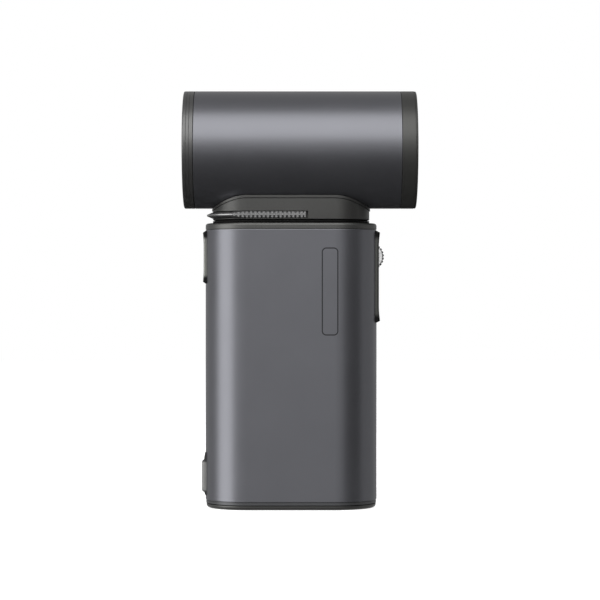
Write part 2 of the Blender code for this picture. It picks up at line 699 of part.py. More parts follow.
def make_control_panel(body):
    solid = insert_solid(PANEL_BOTTOM, PANEL_TOP, PANEL_PROUD, PANEL_TIP_PROUD, 1)
    panel = add_piece("control_panel", solid, "black_plastic", body)
    inner = HANDLE_HALF_X - INSERT_DEPTH - MM
    outside = HANDLE_HALF_X + 5 * MM
    slot_y = DIAL_HALF_Y + DIAL_CLEARANCE
    slot_z = DIAL_RADIUS + DIAL_CLEARANCE
    cut(panel, "dial_slot", box(inner, outside, -slot_y, slot_y, DIAL_Z - slot_z, DIAL_Z + slot_z))
    axle_reach = AXLE_HALF_LENGTH + GAP
    bore = turned(bmesh.new(), disc(-axle_reach, axle_reach, AXLE_RADIUS + GAP), 12, ALONG_Y)
    bmesh.ops.translate(bore, vec=(DIAL_X, 0, DIAL_Z), verts=bore.verts)
    cut(panel, "axle_bore", bore)
    half_z = DISPLAY_HEIGHT / 2
    seat = HANDLE_HALF_X + PANEL_PROUD - DISPLAY_GLASS - GAP - 0.1 * MM
    frame_y = DISPLAY_HALF_Y + GAP
    frame_z = half_z + GAP
    glass_seat = box(seat, outside, -frame_y, frame_y, DISPLAY_Z - frame_z, DISPLAY_Z + frame_z)
    cut(panel, "glass_seat", glass_seat)
    module_y = DISPLAY_HALF_Y - 0.5 * MM
    module_z = half_z - 0.8 * MM
    low = DISPLAY_Z - module_z
    high = DISPLAY_Z + module_z
    cut(panel, "module_well", box(inner, seat + GAP, -module_y, module_y, low, high))
    back = seat + GAP
    half_y = DISPLAY_HALF_Y
    glass = box(back, back + DISPLAY_GLASS, -half_y, half_y, DISPLAY_Z - half_z, DISPLAY_Z + half_z)
    add_piece("display_window", glass, "smoked_window", body, smooth=False)
    module = box(seat - DISPLAY_MODULE_DEPTH, seat, -module_y + GAP, module_y - GAP, low + GAP, high - GAP)
    add_piece("display_module", module, "circuit_board", body, smooth=False)
    axle = turned(bmesh.new(), disc(-AXLE_HALF_LENGTH, AXLE_HALF_LENGTH, AXLE_RADIUS), 16, ALONG_Y)
    bmesh.ops.translate(axle, vec=(DIAL_X, 0, DIAL_Z), verts=axle.verts)
    add_piece("dial_axle", axle, "steel", body)


def make_speed_dial(dial_axis):
    """The thumb wheel on its axle, with a notched rim and a shallow dish in each face."""
    bore = AXLE_RADIUS + GAP
    dish = 0.3 * MM
    lip = DIAL_RADIUS - 0.9 * MM
    edge = 0.25 * MM
    profile = [
        (-DIAL_HALF_Y, lip),
        (-DIAL_HALF_Y, DIAL_RADIUS - edge),
        (-DIAL_HALF_Y + edge, DIAL_RADIUS),
        (DIAL_HALF_Y - edge, DIAL_RADIUS),
        (DIAL_HALF_Y, DIAL_RADIUS - edge),
        (DIAL_HALF_Y, lip),
        (DIAL_HALF_Y - dish, lip),
        (DIAL_HALF_Y - dish, bore),
        (-DIAL_HALF_Y + dish, bore),
        (-DIAL_HALF_Y + dish, lip),
    ]
    wheel = turned(bmesh.new(), profile, DIAL_NOTCHES * 2, ALONG_Y)
    for vert in wheel.verts:
        spoke = round(math.atan2(vert.co.z, vert.co.x) / (math.pi / DIAL_NOTCHES))
        radius = math.hypot(vert.co.x, vert.co.z)
        if spoke % 2 and radius > DIAL_RADIUS - 2 * edge:
            vert.co.x *= 1 - DIAL_NOTCH_DEPTH / DIAL_RADIUS
            vert.co.z *= 1 - DIAL_NOTCH_DEPTH / DIAL_RADIUS
    add_piece("speed_dial", wheel, "trim_metal", dial_axis)


def make_power_button(body, button_axis):
    solid = insert_solid(FRAME_BOTTOM, PANEL_TOP, FRAME_PROUD, FRAME_TIP_PROUD, -1)
    frame = add_piece("button_frame", solid, "black_plastic", body)
    middle = Matrix.Translation((0, 0, BUTTON_Z))
    depth = -HANDLE_HALF_X + BUTTON_HEIGHT + BUTTON_TRAVEL
    hole = disc(-HANDLE_HALF_X - 3 * MM, depth, BUTTON_RADIUS + GAP)
    cut(frame, "button_hole", turned(bmesh.new(), hole, 24, middle @ ALONG_X))
    inner = -HANDLE_HALF_X + INSERT_DEPTH
    stem_hole = disc(-HANDLE_HALF_X, inner + MM, BUTTON_STEM_RADIUS + GAP)
    cut(frame, "stem_hole", turned(bmesh.new(), stem_hole, 16, middle @ ALONG_X))
    face = -FRAME_PROUD
    profile = [
        (face - 0.15 * MM, 0),
        (face - 0.1 * MM, BUTTON_RADIUS * 0.6),
        (face, BUTTON_RADIUS - 0.3 * MM),
        (face + 0.3 * MM, BUTTON_RADIUS),
        (face + BUTTON_HEIGHT, BUTTON_RADIUS),
        (face + BUTTON_HEIGHT, BUTTON_STEM_RADIUS),
        (INSERT_DEPTH, BUTTON_STEM_RADIUS),
        (INSERT_DEPTH, 0),
    ]
    add_piece("power_button", turned_x(profile, 24), "grey_plastic", button_axis)
    low = inner + GAP + BUTTON_TRAVEL
    half = SWITCH_SIZE / 2
    switch = box(low, low + SWITCH_HEIGHT, -half, half, BUTTON_Z - half, BUTTON_Z + half)
    add_piece("power_switch", switch, "steel", body, smooth=False)
    back = low + SWITCH_HEIGHT + GAP
    board = box(back, back + SWITCH_BOARD_THICKNESS, -6 * MM, 6 * MM, BOARD_BOTTOM, BUTTON_Z + 6 * MM)
    add_piece("switch_board", board, "circuit_board", body, smooth=False)


def make_port(body):
    """The charging socket lying on its board, with its long side upright."""
    left = -HANDLE_HALF_X + PORT_INSET
    right = left + PORT_LENGTH
    loops = []
    for inset, x in ((0, left), (0, right), (PORT_WALL, right), (PORT_WALL, left)):
        half_y = PORT_HEIGHT / 2 - inset
        points = rounded_outline(half_y, PORT_WIDTH / 2 - inset, half_y - 0.2 * MM, 4)
        loops.append([(x, y, PORT_Z + z) for y, z in points])
    port = add_piece("usb_c_port", add_loops(bmesh.new(), loops, closed=True), "steel", body)
    bar_y = (PORT_HEIGHT - PORT_WALL) / 2
    points = rounded_outline(bar_y, (PORT_WIDTH - PORT_WALL) / 2, PORT_HEIGHT / 2 - 0.4 * MM, 4)
    rear = [[(x, y, PORT_Z + z) for y, z in points] for x in (right - 1.0 * MM, right - 0.2 * MM)]
    join(port, "port_back", add_loops(bmesh.new(), rear))
    tongue_y = 0.35 * MM
    low = PORT_Z - 3.2 * MM
    high = PORT_Z + 3.2 * MM
    tongue = box(left + 1.6 * MM, right - 0.6 * MM, -tongue_y, tongue_y, low, high)
    join(port, "port_tongue", tongue)
    low_y = PORT_HEIGHT / 2 + GAP
    board = box(left + MM, right, low_y, low_y + 0.8 * MM, PORT_Z - 5.6 * MM, PORT_Z + 5.6 * MM)
    add_piece("usb_board", board, "circuit_board", body, smooth=False)


def make_port_cover(cover_axis):
    """The rubber cover, drawn round its hinge at the top: plate, outer bump and inner lip."""
    half = COVER_THICKNESS / 2
    drop = COVER_HINGE_Z - COVER_BOTTOM
    bm = bmesh.new()
    section = []
    for step in range(9):
        angle = math.radians(180 * step / 8)
        section.append((half * math.cos(angle), half * math.sin(angle)))
    bump_low = -drop + 0.9 * MM
    bump_high = bump_low + COVER_BUMP_HEIGHT
    out = half + COVER_BUMP_PROUD
    section += [
        (-half, bump_high + 0.4 * MM),
        (-out + 0.2 * MM, bump_high - 0.5 * MM),
        (-out, bump_high - 1.1 * MM),
        (-out, bump_low + 0.6 * MM),
        (-out + 0.3 * MM, bump_low + 0.1 * MM),
        (-half, -drop + 0.3 * MM),
        (-half + 0.3 * MM, -drop),
        (half, -drop),
    ]
    loops = [[(x, y, z) for x, z in section] for y in (-COVER_HALF_Y, COVER_HALF_Y)]
    cover = add_piece("port_cover", add_loops(bm, loops), "rubber", cover_axis)
    middle = PORT_Z - COVER_HINGE_Z
    lip_y = PORT_HEIGHT / 2 - PORT_WALL - GAP
    lip_z = PORT_WIDTH / 2 - PORT_WALL - 2 * GAP
    points = rounded_outline(lip_y, lip_z, lip_y - 0.1 * MM, 4)
    inner = half - 0.2 * MM
    lip = [[(x, y, middle + z) for y, z in points] for x in (inner, half + 1.3 * MM)]
    join(cover, "cover_lip", add_loops(bmesh.new(), lip))


def make_swivel(body):
    """The hollow spindle of the handle, and the wide washer, detent disc and nut on it."""
    flange_top = CAP_BOTTOM - GAP
    floor_top = NECK_BOTTOM + NECK_FLOOR
    detent_low = floor_top + GAP
    nut_low = detent_low + DETENT_THICKNESS + GAP
    nut_high = nut_low + NUT_THICKNESS
    low = flange_top - SPINDLE_FLANGE
    profile = [
        (low, SPINDLE_BORE),
        (low, SPINDLE_FLANGE_RADIUS),
        (flange_top, SPINDLE_FLANGE_RADIUS),
        (flange_top, SPINDLE_RADIUS),
        (nut_high + 0.1 * MM, SPINDLE_RADIUS),
        (nut_high + 0.1 * MM, SPINDLE_BORE),
    ]
    add_piece("swivel_spindle", turned(bmesh.new(), profile, MEDIUM), "steel", body)
    fit = SPINDLE_RADIUS + GAP
    levels = [neck_outline(WASHER_INSET, CAP_TOP + GAP), neck_outline(WASHER_INSET, NECK_BOTTOM - GAP)]
    washer = add_piece("swivel_washer", add_loops(bmesh.new(), levels), "black_plastic", body)
    cut(washer, "washer_bore", rod(0, 0, CAP_TOP, NECK_BOTTOM, fit, MEDIUM))
    disc_profile = ring(detent_low, detent_low + DETENT_THICKNESS, fit, DETENT_RADIUS)
    detent = add_piece("detent_disc", turned(bmesh.new(), disc_profile, MEDIUM), "steel", body)
    notches = bmesh.new()
    for step in range(DETENT_NOTCHES):
        angle = 2 * math.pi * step / DETENT_NOTCHES
        inner = DETENT_RADIUS - 0.8 * MM
        notch = box(inner, DETENT_RADIUS + MM, -0.6 * MM, 0.6 * MM, detent_low - MM, nut_low)
        bmesh.ops.rotate(notch, cent=(0, 0, 0), matrix=Matrix.Rotation(angle, 3, "Z"), verts=notch.verts)
        copy_into(notches, notch)
    cut(detent, "detent_notches", notches)
    nut = add_loops(bmesh.new(), nut_loops(nut_low, nut_high))
    nut_piece = add_piece("spindle_nut", nut, "steel", body, smooth=False)
    cut(nut_piece, "nut_bore", rod(0, 0, nut_low - MM, nut_high + MM, fit, MEDIUM))


def copy_into(bm, other):
    """Adds one bmesh to another."""
    mesh = bpy.data.meshes.new("copy")
    other.to_mesh(mesh)
    other.free()
    bm.from_mesh(mesh)
    bpy.data.meshes.remove(mesh)


def nut_loops(low, high):
    angles = [math.radians(60 * i) for i in range(6)]
    loop = [(NUT_RADIUS * math.cos(a), NUT_RADIUS * math.sin(a)) for a in angles]
    return [at_height(loop, low), at_height(loop, high)]


def in_head(z):
    """A height above the foot, as a height in the head's own coordinates."""
    return z - HEAD_AXIS_Z


def x_cylinder(radius, segments=72):
    """A long cylinder on the head's axis, for cutting saddles."""
    reach = HEAD_LENGTH
    return turned(bmesh.new(), disc(-reach, reach, radius), segments, ALONG_X)


def make_neck(head):
    """The neck under the tube: floor, cavity for the swivel, slot for the release slider."""
    low = in_head(NECK_BOTTOM)
    high = in_head(HEAD_AXIS_Z - HEAD_RADIUS / 3)
    loops = [
        neck_outline(SEAM_EDGE, low),
        neck_outline(0, low + SEAM_EDGE),
        neck_outline(0, high),
    ]
    neck = add_piece("neck_housing", add_loops(bmesh.new(), loops), "dark_plastic", head)
    lip_radius = HEAD_RADIUS + GAP
    groove_radius = lip_radius + COLLAR_THICKNESS + COLLAR_GROOVE
    floor_top = in_head(NECK_BOTTOM + NECK_FLOOR)
    cut(neck, "neck_cavity", rod(0, 0, floor_top, 0, NECK_CAVITY_RADIUS, MEDIUM))
    cut(neck, "neck_bore", rod(0, 0, low - MM, floor_top + MM, SPINDLE_RADIUS + GAP, MEDIUM))
    cut(neck, "release_slot", release_slot())
    slot_low = in_head(RELEASE_Z) - RELEASE_HALF_HEIGHT
    end = NECK_HALF_X - RELEASE_END_DEPTH
    cut(neck, "slot_mouth", box(-NECK_HALF_X - MM, -end + MM, -7 * MM, 7 * MM, slot_low + GAP, 0))
    channel_low = slot_low - 0.2 * MM
    channel = box(-NECK_HALF_X, -NECK_CAVITY_RADIUS + MM, -1.8 * MM, 1.8 * MM, channel_low, MM)
    cut(neck, "latch_channel", channel)
    spring_pocket = box(-NECK_HALF_X + MM, -20.3 * MM, 3.7 * MM, 6.3 * MM, slot_low + 0.15 * MM, 2 * MM)
    cut(neck, "spring_pocket", spring_pocket)
    holes = bmesh.new()
    for side in (-1, 1):
        copy_into(holes, screw_hole(side * NECK_SCREW_X, side * NECK_SCREW_Y, low))
    cut(neck, "screw_holes", holes)
    cut(neck, "tube_saddle", x_cylinder(groove_radius))
    make_collar(head, lip_radius)
    tip = -math.sqrt((DUCT_RADIUS + GAP) ** 2 - (NECK_SCREW_Y - SCREW_SHANK_RADIUS) ** 2)
    for name, side in (("neck_screw_left", -1), ("neck_screw_right", 1)):
        piece = screw(side * NECK_SCREW_X, side * NECK_SCREW_Y, low + 0.1 * MM, tip)
        add_piece(name, piece, "steel", head)


def screw_hole(x, y, low):
    """A through hole with room for the screw's head at its lower end."""
    seat = low + SCREW_HEAD_HEIGHT + 1.2 * GAP
    profile = [
        (low - MM, 0),
        (low - MM, SCREW_HEAD_RADIUS + GAP),
        (seat, SCREW_HEAD_RADIUS + GAP),
        (seat, SCREW_SHANK_RADIUS + GAP),
        (0, SCREW_SHANK_RADIUS + GAP),
        (0, 0),
    ]
    return turned(bmesh.new(), profile, 12, Matrix.Translation((x, y, 0)))


def make_collar(head, lip_radius):
    """A thin collar on the tube that follows the neck's outline."""
    low = in_head(NECK_BOTTOM)
    high = in_head(HEAD_AXIS_Z - HEAD_RADIUS / 3)
    wide = -COLLAR_PROUD
    narrow = COLLAR_WALL
    loops = [
        neck_outline(wide, low),
        neck_outline(wide, high),
        neck_outline(narrow, high),
        neck_outline(narrow, low),
    ]
    collar = add_piece("saddle_collar", add_loops(bmesh.new(), loops, closed=True), "dark_plastic", head)
    cut(collar, "collar_saddle", x_cylinder(lip_radius))
    combine(collar, "collar_underside", x_cylinder(lip_radius + COLLAR_THICKNESS), "INTERSECT")


def u_outline(side_y, left, inner_y, inner_left, right):
    """A U lying on its side, open toward +X: an outer path round the left end, then the inner one back."""
    points = []
    for depth, edge, turns in ((side_y, left, range(0, 13)), (inner_y, inner_left, range(12, -1, -1))):
        centre = edge + depth
        arc = []
        for step in turns:
            angle = math.radians(270 - 15 * step)
            arc.append((centre + depth * math.cos(angle), depth * math.sin(angle)))
        tails = [(right, -depth), (right, depth)]
        if depth == inner_y:
            tails.reverse()
        points += [tails[0], *arc, tails[1]]
    return points


def release_slot():
    """The slot in the neck: a little more than the space the slider sweeps."""
    low = in_head(RELEASE_Z) - RELEASE_HALF_HEIGHT
    high = in_head(RELEASE_Z) + RELEASE_HALF_HEIGHT
    inner_y = NECK_HALF_Y + RELEASE_SIDE_PROUD - RELEASE_SIDE_DEPTH - GAP
    left = -NECK_HALF_X - RELEASE_END_PROUD + RELEASE_END_DEPTH + RELEASE_TRAVEL + GAP
    right = RELEASE_LEG_END + RELEASE_TRAVEL + GAP
    points = u_outline(NECK_HALF_Y + 4 * MM, -NECK_HALF_X - 6 * MM, inner_y, left, right)
    return add_loops(bmesh.new(), [at_height(points, low - 0.05 * MM), at_height(points, high + 0.05 * MM)])


def make_release_slider(release_axis):
    """The V-edged U with its notched legs and its latch tongue."""
    half = RELEASE_HALF_HEIGHT - GAP + 0.1 * MM
    apex_y = NECK_HALF_Y + RELEASE_SIDE_PROUD
    apex_left = -NECK_HALF_X - RELEASE_END_PROUD
    inner_y = apex_y - RELEASE_SIDE_DEPTH
    inner_left = apex_left + RELEASE_END_DEPTH
    flank = RELEASE_FLANK
    shift = RELEASE_END_PROUD - RELEASE_SIDE_PROUD
    loops = []
    for z, inset in ((-half, flank), (-RELEASE_APEX, 0), (RELEASE_APEX, 0), (half, flank)):
        left = apex_left + inset + (shift if inset else 0)
        points = u_outline(apex_y - inset, left, inner_y, inner_left, RELEASE_LEG_END - 0.5 * inset)
        loops.append(at_height(points, z))
    slider = add_piece("release_slider", add_loops(bmesh.new(), loops), "trim_metal", release_axis)
    tongue_tip = -DETENT_RADIUS - RELEASE_TRAVEL - 2 * GAP
    thick = half - 0.25 * MM
    tongue = box(inner_left - 0.8 * MM, tongue_tip, -1.4 * MM, 1.4 * MM, -thick, thick)
    join(slider, "latch_tongue", tongue)
    notches = bmesh.new()
    first = RELEASE_LEG_END - 1.4 * MM
    width = RELEASE_NOTCH_WIDTH / 2
    for side in (-1, 1):
        for step in range(RELEASE_NOTCHES):
            x = first - step * RELEASE_PITCH
            near = side * (apex_y - RELEASE_NOTCH_DEPTH)
            far = side * (apex_y + MM)
            add_box(notches, x - width, x + width, min(near, far), max(near, far), -half - MM, half + MM)
    cut(slider, "thumb_notches", notches)


def make_release_spring(head):
    """The small coil that pushes the slider back out."""
    curve = bpy.data.curves.new("release_spring", "CURVE")
    curve.dimensions = "3D"
    curve.bevel_depth = 0.15 * MM
    curve.bevel_resolution = 0
    curve.use_fill_caps = True
    spline = curve.splines.new("POLY")
    turns = 5
    steps = turns * 8
    start = -25.4 * MM
    end = -20.7 * MM
    coil = 0.75 * MM
    spline.points.add(steps)
    middle_z = in_head(RELEASE_Z)
    for step in range(steps + 1):
        angle = 2 * math.pi * step / 8
        x = start + (end - start) * step / steps
        spline.points[step].co = (x, 5 * MM + coil * math.cos(angle), middle_z + coil * math.sin(angle), 1)
    curve.materials.append(make_material("steel"))
    obj = bpy.data.objects.new("release_spring", curve)
    bpy.context.scene.collection.objects.link(obj)
    obj.parent = head


def make_tube(head):
    outer = HEAD_RADIUS
    profile = [
        (TUBE_LEFT, TUBE_BORE),
        (TUBE_LEFT, outer - SEAM_EDGE),
        (TUBE_LEFT + SEAM_EDGE, outer),
        (TUBE_RIGHT - SEAM_EDGE, outer),
        (TUBE_RIGHT, outer - SEAM_EDGE),
        (TUBE_RIGHT, TUBE_BORE),
    ]
    tube = add_piece("head_tube", turned_x(profile, FINE), "anodised", head)
    cut(tube, "tube_lead_hole", rod(0, 0, -HEAD_RADIUS - MM, -TUBE_BORE + MM, 2.2 * MM, 16))
    for name, side in (("tube_hole_left", -1), ("tube_hole_right", 1)):
        x, y = side * NECK_SCREW_X, side * NECK_SCREW_Y
        hole = rod(x, y, -HEAD_RADIUS - MM, -TUBE_BORE + 4 * MM, SCREW_SHANK_RADIUS + GAP, 12)
        cut(tube, name, hole)
    plate = turned_x(ring(-CLAMP_HALF_X, CLAMP_HALF_X, DUCT_RADIUS + GAP, ISOLATOR_RADIUS), FINE)
    clamp = add_piece("clamp_plate", plate, "steel", head)
    window = box(-CLAMP_HALF_X - MM, CLAMP_HALF_X + MM, -CLAMP_HALF_Y, CLAMP_HALF_Y, -HEAD_RADIUS, 0)
    combine(clamp, "clamp_outline", window, "INTERSECT")
    for name, side, radius in (
        ("clamp_hole_left", -1, SCREW_SHANK_RADIUS + GAP),
        ("clamp_lead_hole", 0, 2.2 * MM),
        ("clamp_hole_right", 1, SCREW_SHANK_RADIUS + GAP),
    ):
        x, y = side * NECK_SCREW_X, side * NECK_SCREW_Y
        hole = rod(x, y, -HEAD_RADIUS, -DUCT_RADIUS + 4 * MM, radius, 12)
        cut(clamp, name, hole)


def make_duct(head):
    low = TUBE_LEFT + SPIGOT_LENGTH + KEEPER_THICKNESS + 2 * GAP
    high = TUBE_RIGHT - GAP
    tube = turned_x(ring(low, high, DUCT_BORE, DUCT_RADIUS), FINE)
    duct = add_piece("fan_duct", tube, "black_plastic", head)
    cut(duct, "duct_lead_hole", rod(0, 0, -HEAD_RADIUS, -DUCT_BORE + MM, LEAD_RADIUS + 2 * GAP, 12))
    inner = DUCT_RADIUS + GAP
    front = low + 3 * MM
    back = high - SPIGOT_LENGTH - 4 * MM
    for name, x in (("isolator_front", front), ("isolator_back", back - ISOLATOR_WIDTH)):
        band = ring(x, x + ISOLATOR_WIDTH, inner, ISOLATOR_RADIUS)
        add_piece(name, turned_x(band, MEDIUM), "rubber", head)
    keeper = ring(low - GAP - KEEPER_THICKNESS, low - GAP, DUCT_BORE, ISOLATOR_RADIUS)
    add_piece("keeper_ring", turned_x(keeper, MEDIUM), "steel", head)


def make_outlet_ring(head):
    left = TUBE_RIGHT + GAP
    right = HEAD_RIGHT
    outer = HEAD_RADIUS
    spigot = left - SPIGOT_LENGTH
    profile = [
        (spigot, DUCT_RADIUS + GAP),
        (spigot, ISOLATOR_RADIUS),
        (left, ISOLATOR_RADIUS),
        (left, outer - SEAM_EDGE),
        (left + SEAM_EDGE, outer),
        (right - RING_EDGE, outer),
        (right, outer - RING_EDGE),
        (right, outer - 3 * RING_EDGE),
        (right - 4.0 * MM, DUCT_BORE),
        (left, DUCT_BORE),
        (left, DUCT_RADIUS + GAP),
    ]
    add_piece("outlet_ring", turned_x(profile, FINE), "dark_plastic", head)


def make_stator(head):
    """The motor pod, its vanes and the ring round them. The lowest vane is thick and carries the lead."""
    wall = POD_FRONT + POD_WALL
    boss = wall + BEARING_WIDTH + 0.4 * MM
    profile = [
        (POD_FRONT, SHAFT_RADIUS + 2 * GAP),
        (POD_FRONT, POD_RADIUS - 0.4 * MM),
        (POD_FRONT + 0.4 * MM, POD_RADIUS),
        (POD_BACK, POD_RADIUS),
        (POD_BACK, POD_BORE),
        (wall, POD_BORE),
        (wall, BOSS_RADIUS),
        (boss, BOSS_RADIUS),
        (boss, BOSS_BORE),
        (wall, BOSS_BORE),
        (wall, SHAFT_RADIUS + 2 * GAP),
    ]
    pod = add_piece("stator_housing", turned_x(profile, MEDIUM), "black_plastic", head)
    ring_outer = DUCT_BORE - GAP
    ring_inner = ring_outer - STATOR_RING_WALL
    sink = STATOR_RING_WALL / 2
    vanes = bmesh.new()
    for step in range(VANE_COUNT):
        thick = STRUT_THICKNESS if step == 0 else VANE_THICKNESS
        vane = vane_solid(thick, POD_RADIUS - POD_WALL / 2, ring_inner + sink, step == 0)
        turn = Matrix.Rotation(2 * math.pi * step / VANE_COUNT, 3, "X")
        bmesh.ops.rotate(vane, cent=(0, 0, 0), matrix=turn, verts=vane.verts)
        copy_into(vanes, vane)
    join(pod, "stator_vanes", vanes)
    band = ring(VANE_FRONT - MM, VANE_BACK + MM, ring_inner, ring_outer)
    join(pod, "stator_ring", turned_x(band, FINE))
    cut(pod, "lead_bore", rod(0, 0, -HEAD_RADIUS, -POD_BORE + MM, LEAD_RADIUS + 0.4 * MM, 12))


def vane_solid(thickness, inner, outer, straight):
    """A curved vane pointing down from the axis."""
    length = VANE_BACK - VANE_FRONT
    steps = 4
    lean = 0 if straight else 3.2 * MM
    top = []
    bottom = []
    for step in range(steps + 1):
        share = step / steps
        x = VANE_FRONT + length * share
        y = lean * (1 - share) ** 2
        half = thickness / 2 * (0.35 + 0.65 * math.sin(math.pi * min(max(share, 0.03), 0.97)) ** 0.5)
        top.append((x, y + half))
        bottom.append((x, y - half))
    outline = bottom + top[::-1]
    loops = [[(x, y, z) for x, y in outline] for z in (-outer, -inner)]
    return add_loops(bmesh.new(), loops)


def make_motor(head, fan):
    """Everything inside the pod, and the rotor that turns in it."""
    slot_low = CORE_BORE + 1.2 * MM
    slot_high = MOTOR_FIT_RADIUS - 1.0 * MM
    laminations = turned_x(ring(CORE_FRONT, CORE_BACK, CORE_BORE, MOTOR_FIT_RADIUS), MEDIUM)
    core = add_piece("stator_core", laminations, "steel", head)
    slots = bmesh.new()
    bars = bmesh.new()
    for step in range(SLOT_COUNT):
        turn = Matrix.Rotation(2 * math.pi * step / SLOT_COUNT, 3, "X")
        slot = box(CORE_FRONT - MM, CORE_BACK + MM, -1.2 * MM, 1.2 * MM, slot_low, slot_high)
        bmesh.ops.rotate(slot, cent=(0, 0, 0), matrix=turn, verts=slot.verts)
        copy_into(slots, slot)
        low = slot_low + GAP
        high = slot_high - GAP
        bar = box(CORE_FRONT - 0.6 * MM, CORE_BACK + 0.6 * MM, -0.9 * MM, 0.9 * MM, low, high)
        bmesh.ops.rotate(bar, cent=(0, 0, 0), matrix=turn, verts=bar.verts)
        copy_into(bars, bar)
    cut(core, "core_slots", slots)
    front = ring(CORE_FRONT - 1.0 * MM, CORE_FRONT - GAP, BOSS_RADIUS + GAP, slot_high)
    winding = add_piece("stator_winding", turned_x(front, MEDIUM), "copper", head)
    join(winding, "slot_bars", bars)
    back = ring(CORE_BACK + GAP, CORE_BACK + 1.0 * MM, BOSS_RADIUS + GAP, slot_high)
    join(winding, "rear_turns", turned_x(back, MEDIUM))
    bearing = SHAFT_RADIUS + GAP
    front_low = POD_FRONT + POD_WALL + GAP
    plate_low = LEAD_RADIUS + GAP + 0.1 * MM + BOARD_THICKNESS + GAP + 0.1 * MM
    plate_high = plate_low + 1.2 * MM
    rear_low = plate_high + GAP
    for name, low in (("bearing_front", front_low), ("bearing_rear", rear_low)):
        race = ring(low, low + BEARING_WIDTH, bearing, BEARING_RADIUS)
        add_piece(name, turned_x(race, 16), "steel", head)
    hole = SHAFT_RADIUS + 2 * GAP
    profile = [
        (plate_low, hole),
        (plate_low, MOTOR_FIT_RADIUS),
        (plate_high, MOTOR_FIT_RADIUS),
        (plate_high, BOSS_RADIUS),
        (rear_low + BEARING_WIDTH, BOSS_RADIUS),
        (rear_low + BEARING_WIDTH, BOSS_BORE),
        (plate_high, BOSS_BORE),
        (plate_high, hole),
    ]
    add_piece("motor_end_cap", turned_x(profile, MEDIUM), "aluminium", head)
    board_low = plate_low - GAP - BOARD_THICKNESS
    board = ring(board_low, board_low + BOARD_THICKNESS, hole, MOTOR_FIT_RADIUS)
    add_piece("driver_board", turned_x(board, MEDIUM), "circuit_board", head)
    magnet = ring(CORE_FRONT - 0.5 * MM, CORE_BACK + 0.5 * MM, bearing, MAGNET_RADIUS)
    add_piece("rotor_magnet", turned_x(magnet, 16), "magnet", fan)
    shaft = disc(HUB_FRONT + 3.3 * MM, rear_low + BEARING_WIDTH + 0.3 * MM, SHAFT_RADIUS)
    add_piece("motor_shaft", turned_x(shaft, 12), "steel", fan)


def make_impeller(fan):
    """The hub with its rounded nose, and twisted blades joined to it."""
    bore = SHAFT_RADIUS + GAP
    nose = []
    for step in range(7):
        angle = math.radians(90 * step / 6)
        x = HUB_FRONT + 0.6 * HUB_LENGTH * (1 - math.cos(angle))
        nose.append((x, HUB_RADIUS * math.sin(angle)))
    bore_end = HUB_FRONT + 3 * MM
    profile = [*nose, (HUB_BACK, HUB_RADIUS), (HUB_BACK, bore), (bore_end, bore), (bore_end, 0)]
    hub = add_piece("impeller", turned_x(profile, MEDIUM), "grey_plastic", fan)
    blades = bmesh.new()
    for step in range(BLADE_COUNT):
        blade = blade_solid()
        turn = Matrix.Rotation(2 * math.pi * step / BLADE_COUNT, 3, "X")
        bmesh.ops.rotate(blade, cent=(0, 0, 0), matrix=turn, verts=blade.verts)
        copy_into(blades, blade)
    join(hub, "fan_blades", blades)


def blade_solid():
    """One blade pointing up: steep at its root and flat at its tip, cut back to the duct's round."""
    tip = DUCT_BORE - BLADE_TIP_GAP
    root = HUB_RADIUS - 1.5 * MM
    middle = HUB_BACK - 0.36 * HUB_LENGTH
    levels = 3
    loops = []
    for level in range(levels + 1):
        share = level / levels
        radius = root + (tip - root) * share
        pitch = math.radians(38 + 22 * share)
        chord = (6.6 + 1.8 * share) * MM
        loop = []
        stations = (-1, -0.4, 0.4, 1)
        widths = (0.3, 1, 1, 0.3)
        for side in (-1, 1):
            row = []
            for station, width in zip(stations, widths):
                along = station * chord / 2
                camber = 0.09 * chord * (1 - station * station)
                off = camber + side * width * BLADE_THICKNESS / 2
                x = middle + along * math.cos(pitch) + off * math.sin(pitch)
                y = along * math.sin(pitch) - off * math.cos(pitch)
                height = math.sqrt(max(radius * radius - y * y, 0))
                row.append((x, y, height))
            loop += row if side < 0 else row[::-1]
        loops.append(loop)
    return add_loops(bmesh.new(), loops)


def make_tail_cone(head):
    """A hollow cone behind the pod, open to it, on a short spigot."""
    base = POD_BACK + GAP
    tip = base + CONE_LENGTH
    wall = 1.3 * MM
    outer = cone_curve(base, CONE_LENGTH, POD_RADIUS)
    inner = cone_curve(base, CONE_LENGTH - 2 * wall, POD_RADIUS - wall)
    spigot = base - 2.5 * MM
    inside = inner[0][1] - wall
    fit = MOTOR_FIT_RADIUS
    path = [(tip, 0), *outer[-2::-1], (base, fit), (spigot, fit), (spigot, inside)]
    path.append((base + wall, inside))
    path += [point for point in inner if point[1] < inside and point[0] > base + wall]
    add_piece("tail_cone", turned_x(path, MEDIUM), "black_plastic", head)


def cone_curve(base, length, radius):
    """A rounded cone, from its base to its tip on the axis."""
    steps = 6
    curve = []
    for step in range(steps):
        share = step / steps
        curve.append((base + length * share, radius * math.sqrt(1 - share ** 1.7)))
    curve.append((base + length, 0))
    return curve


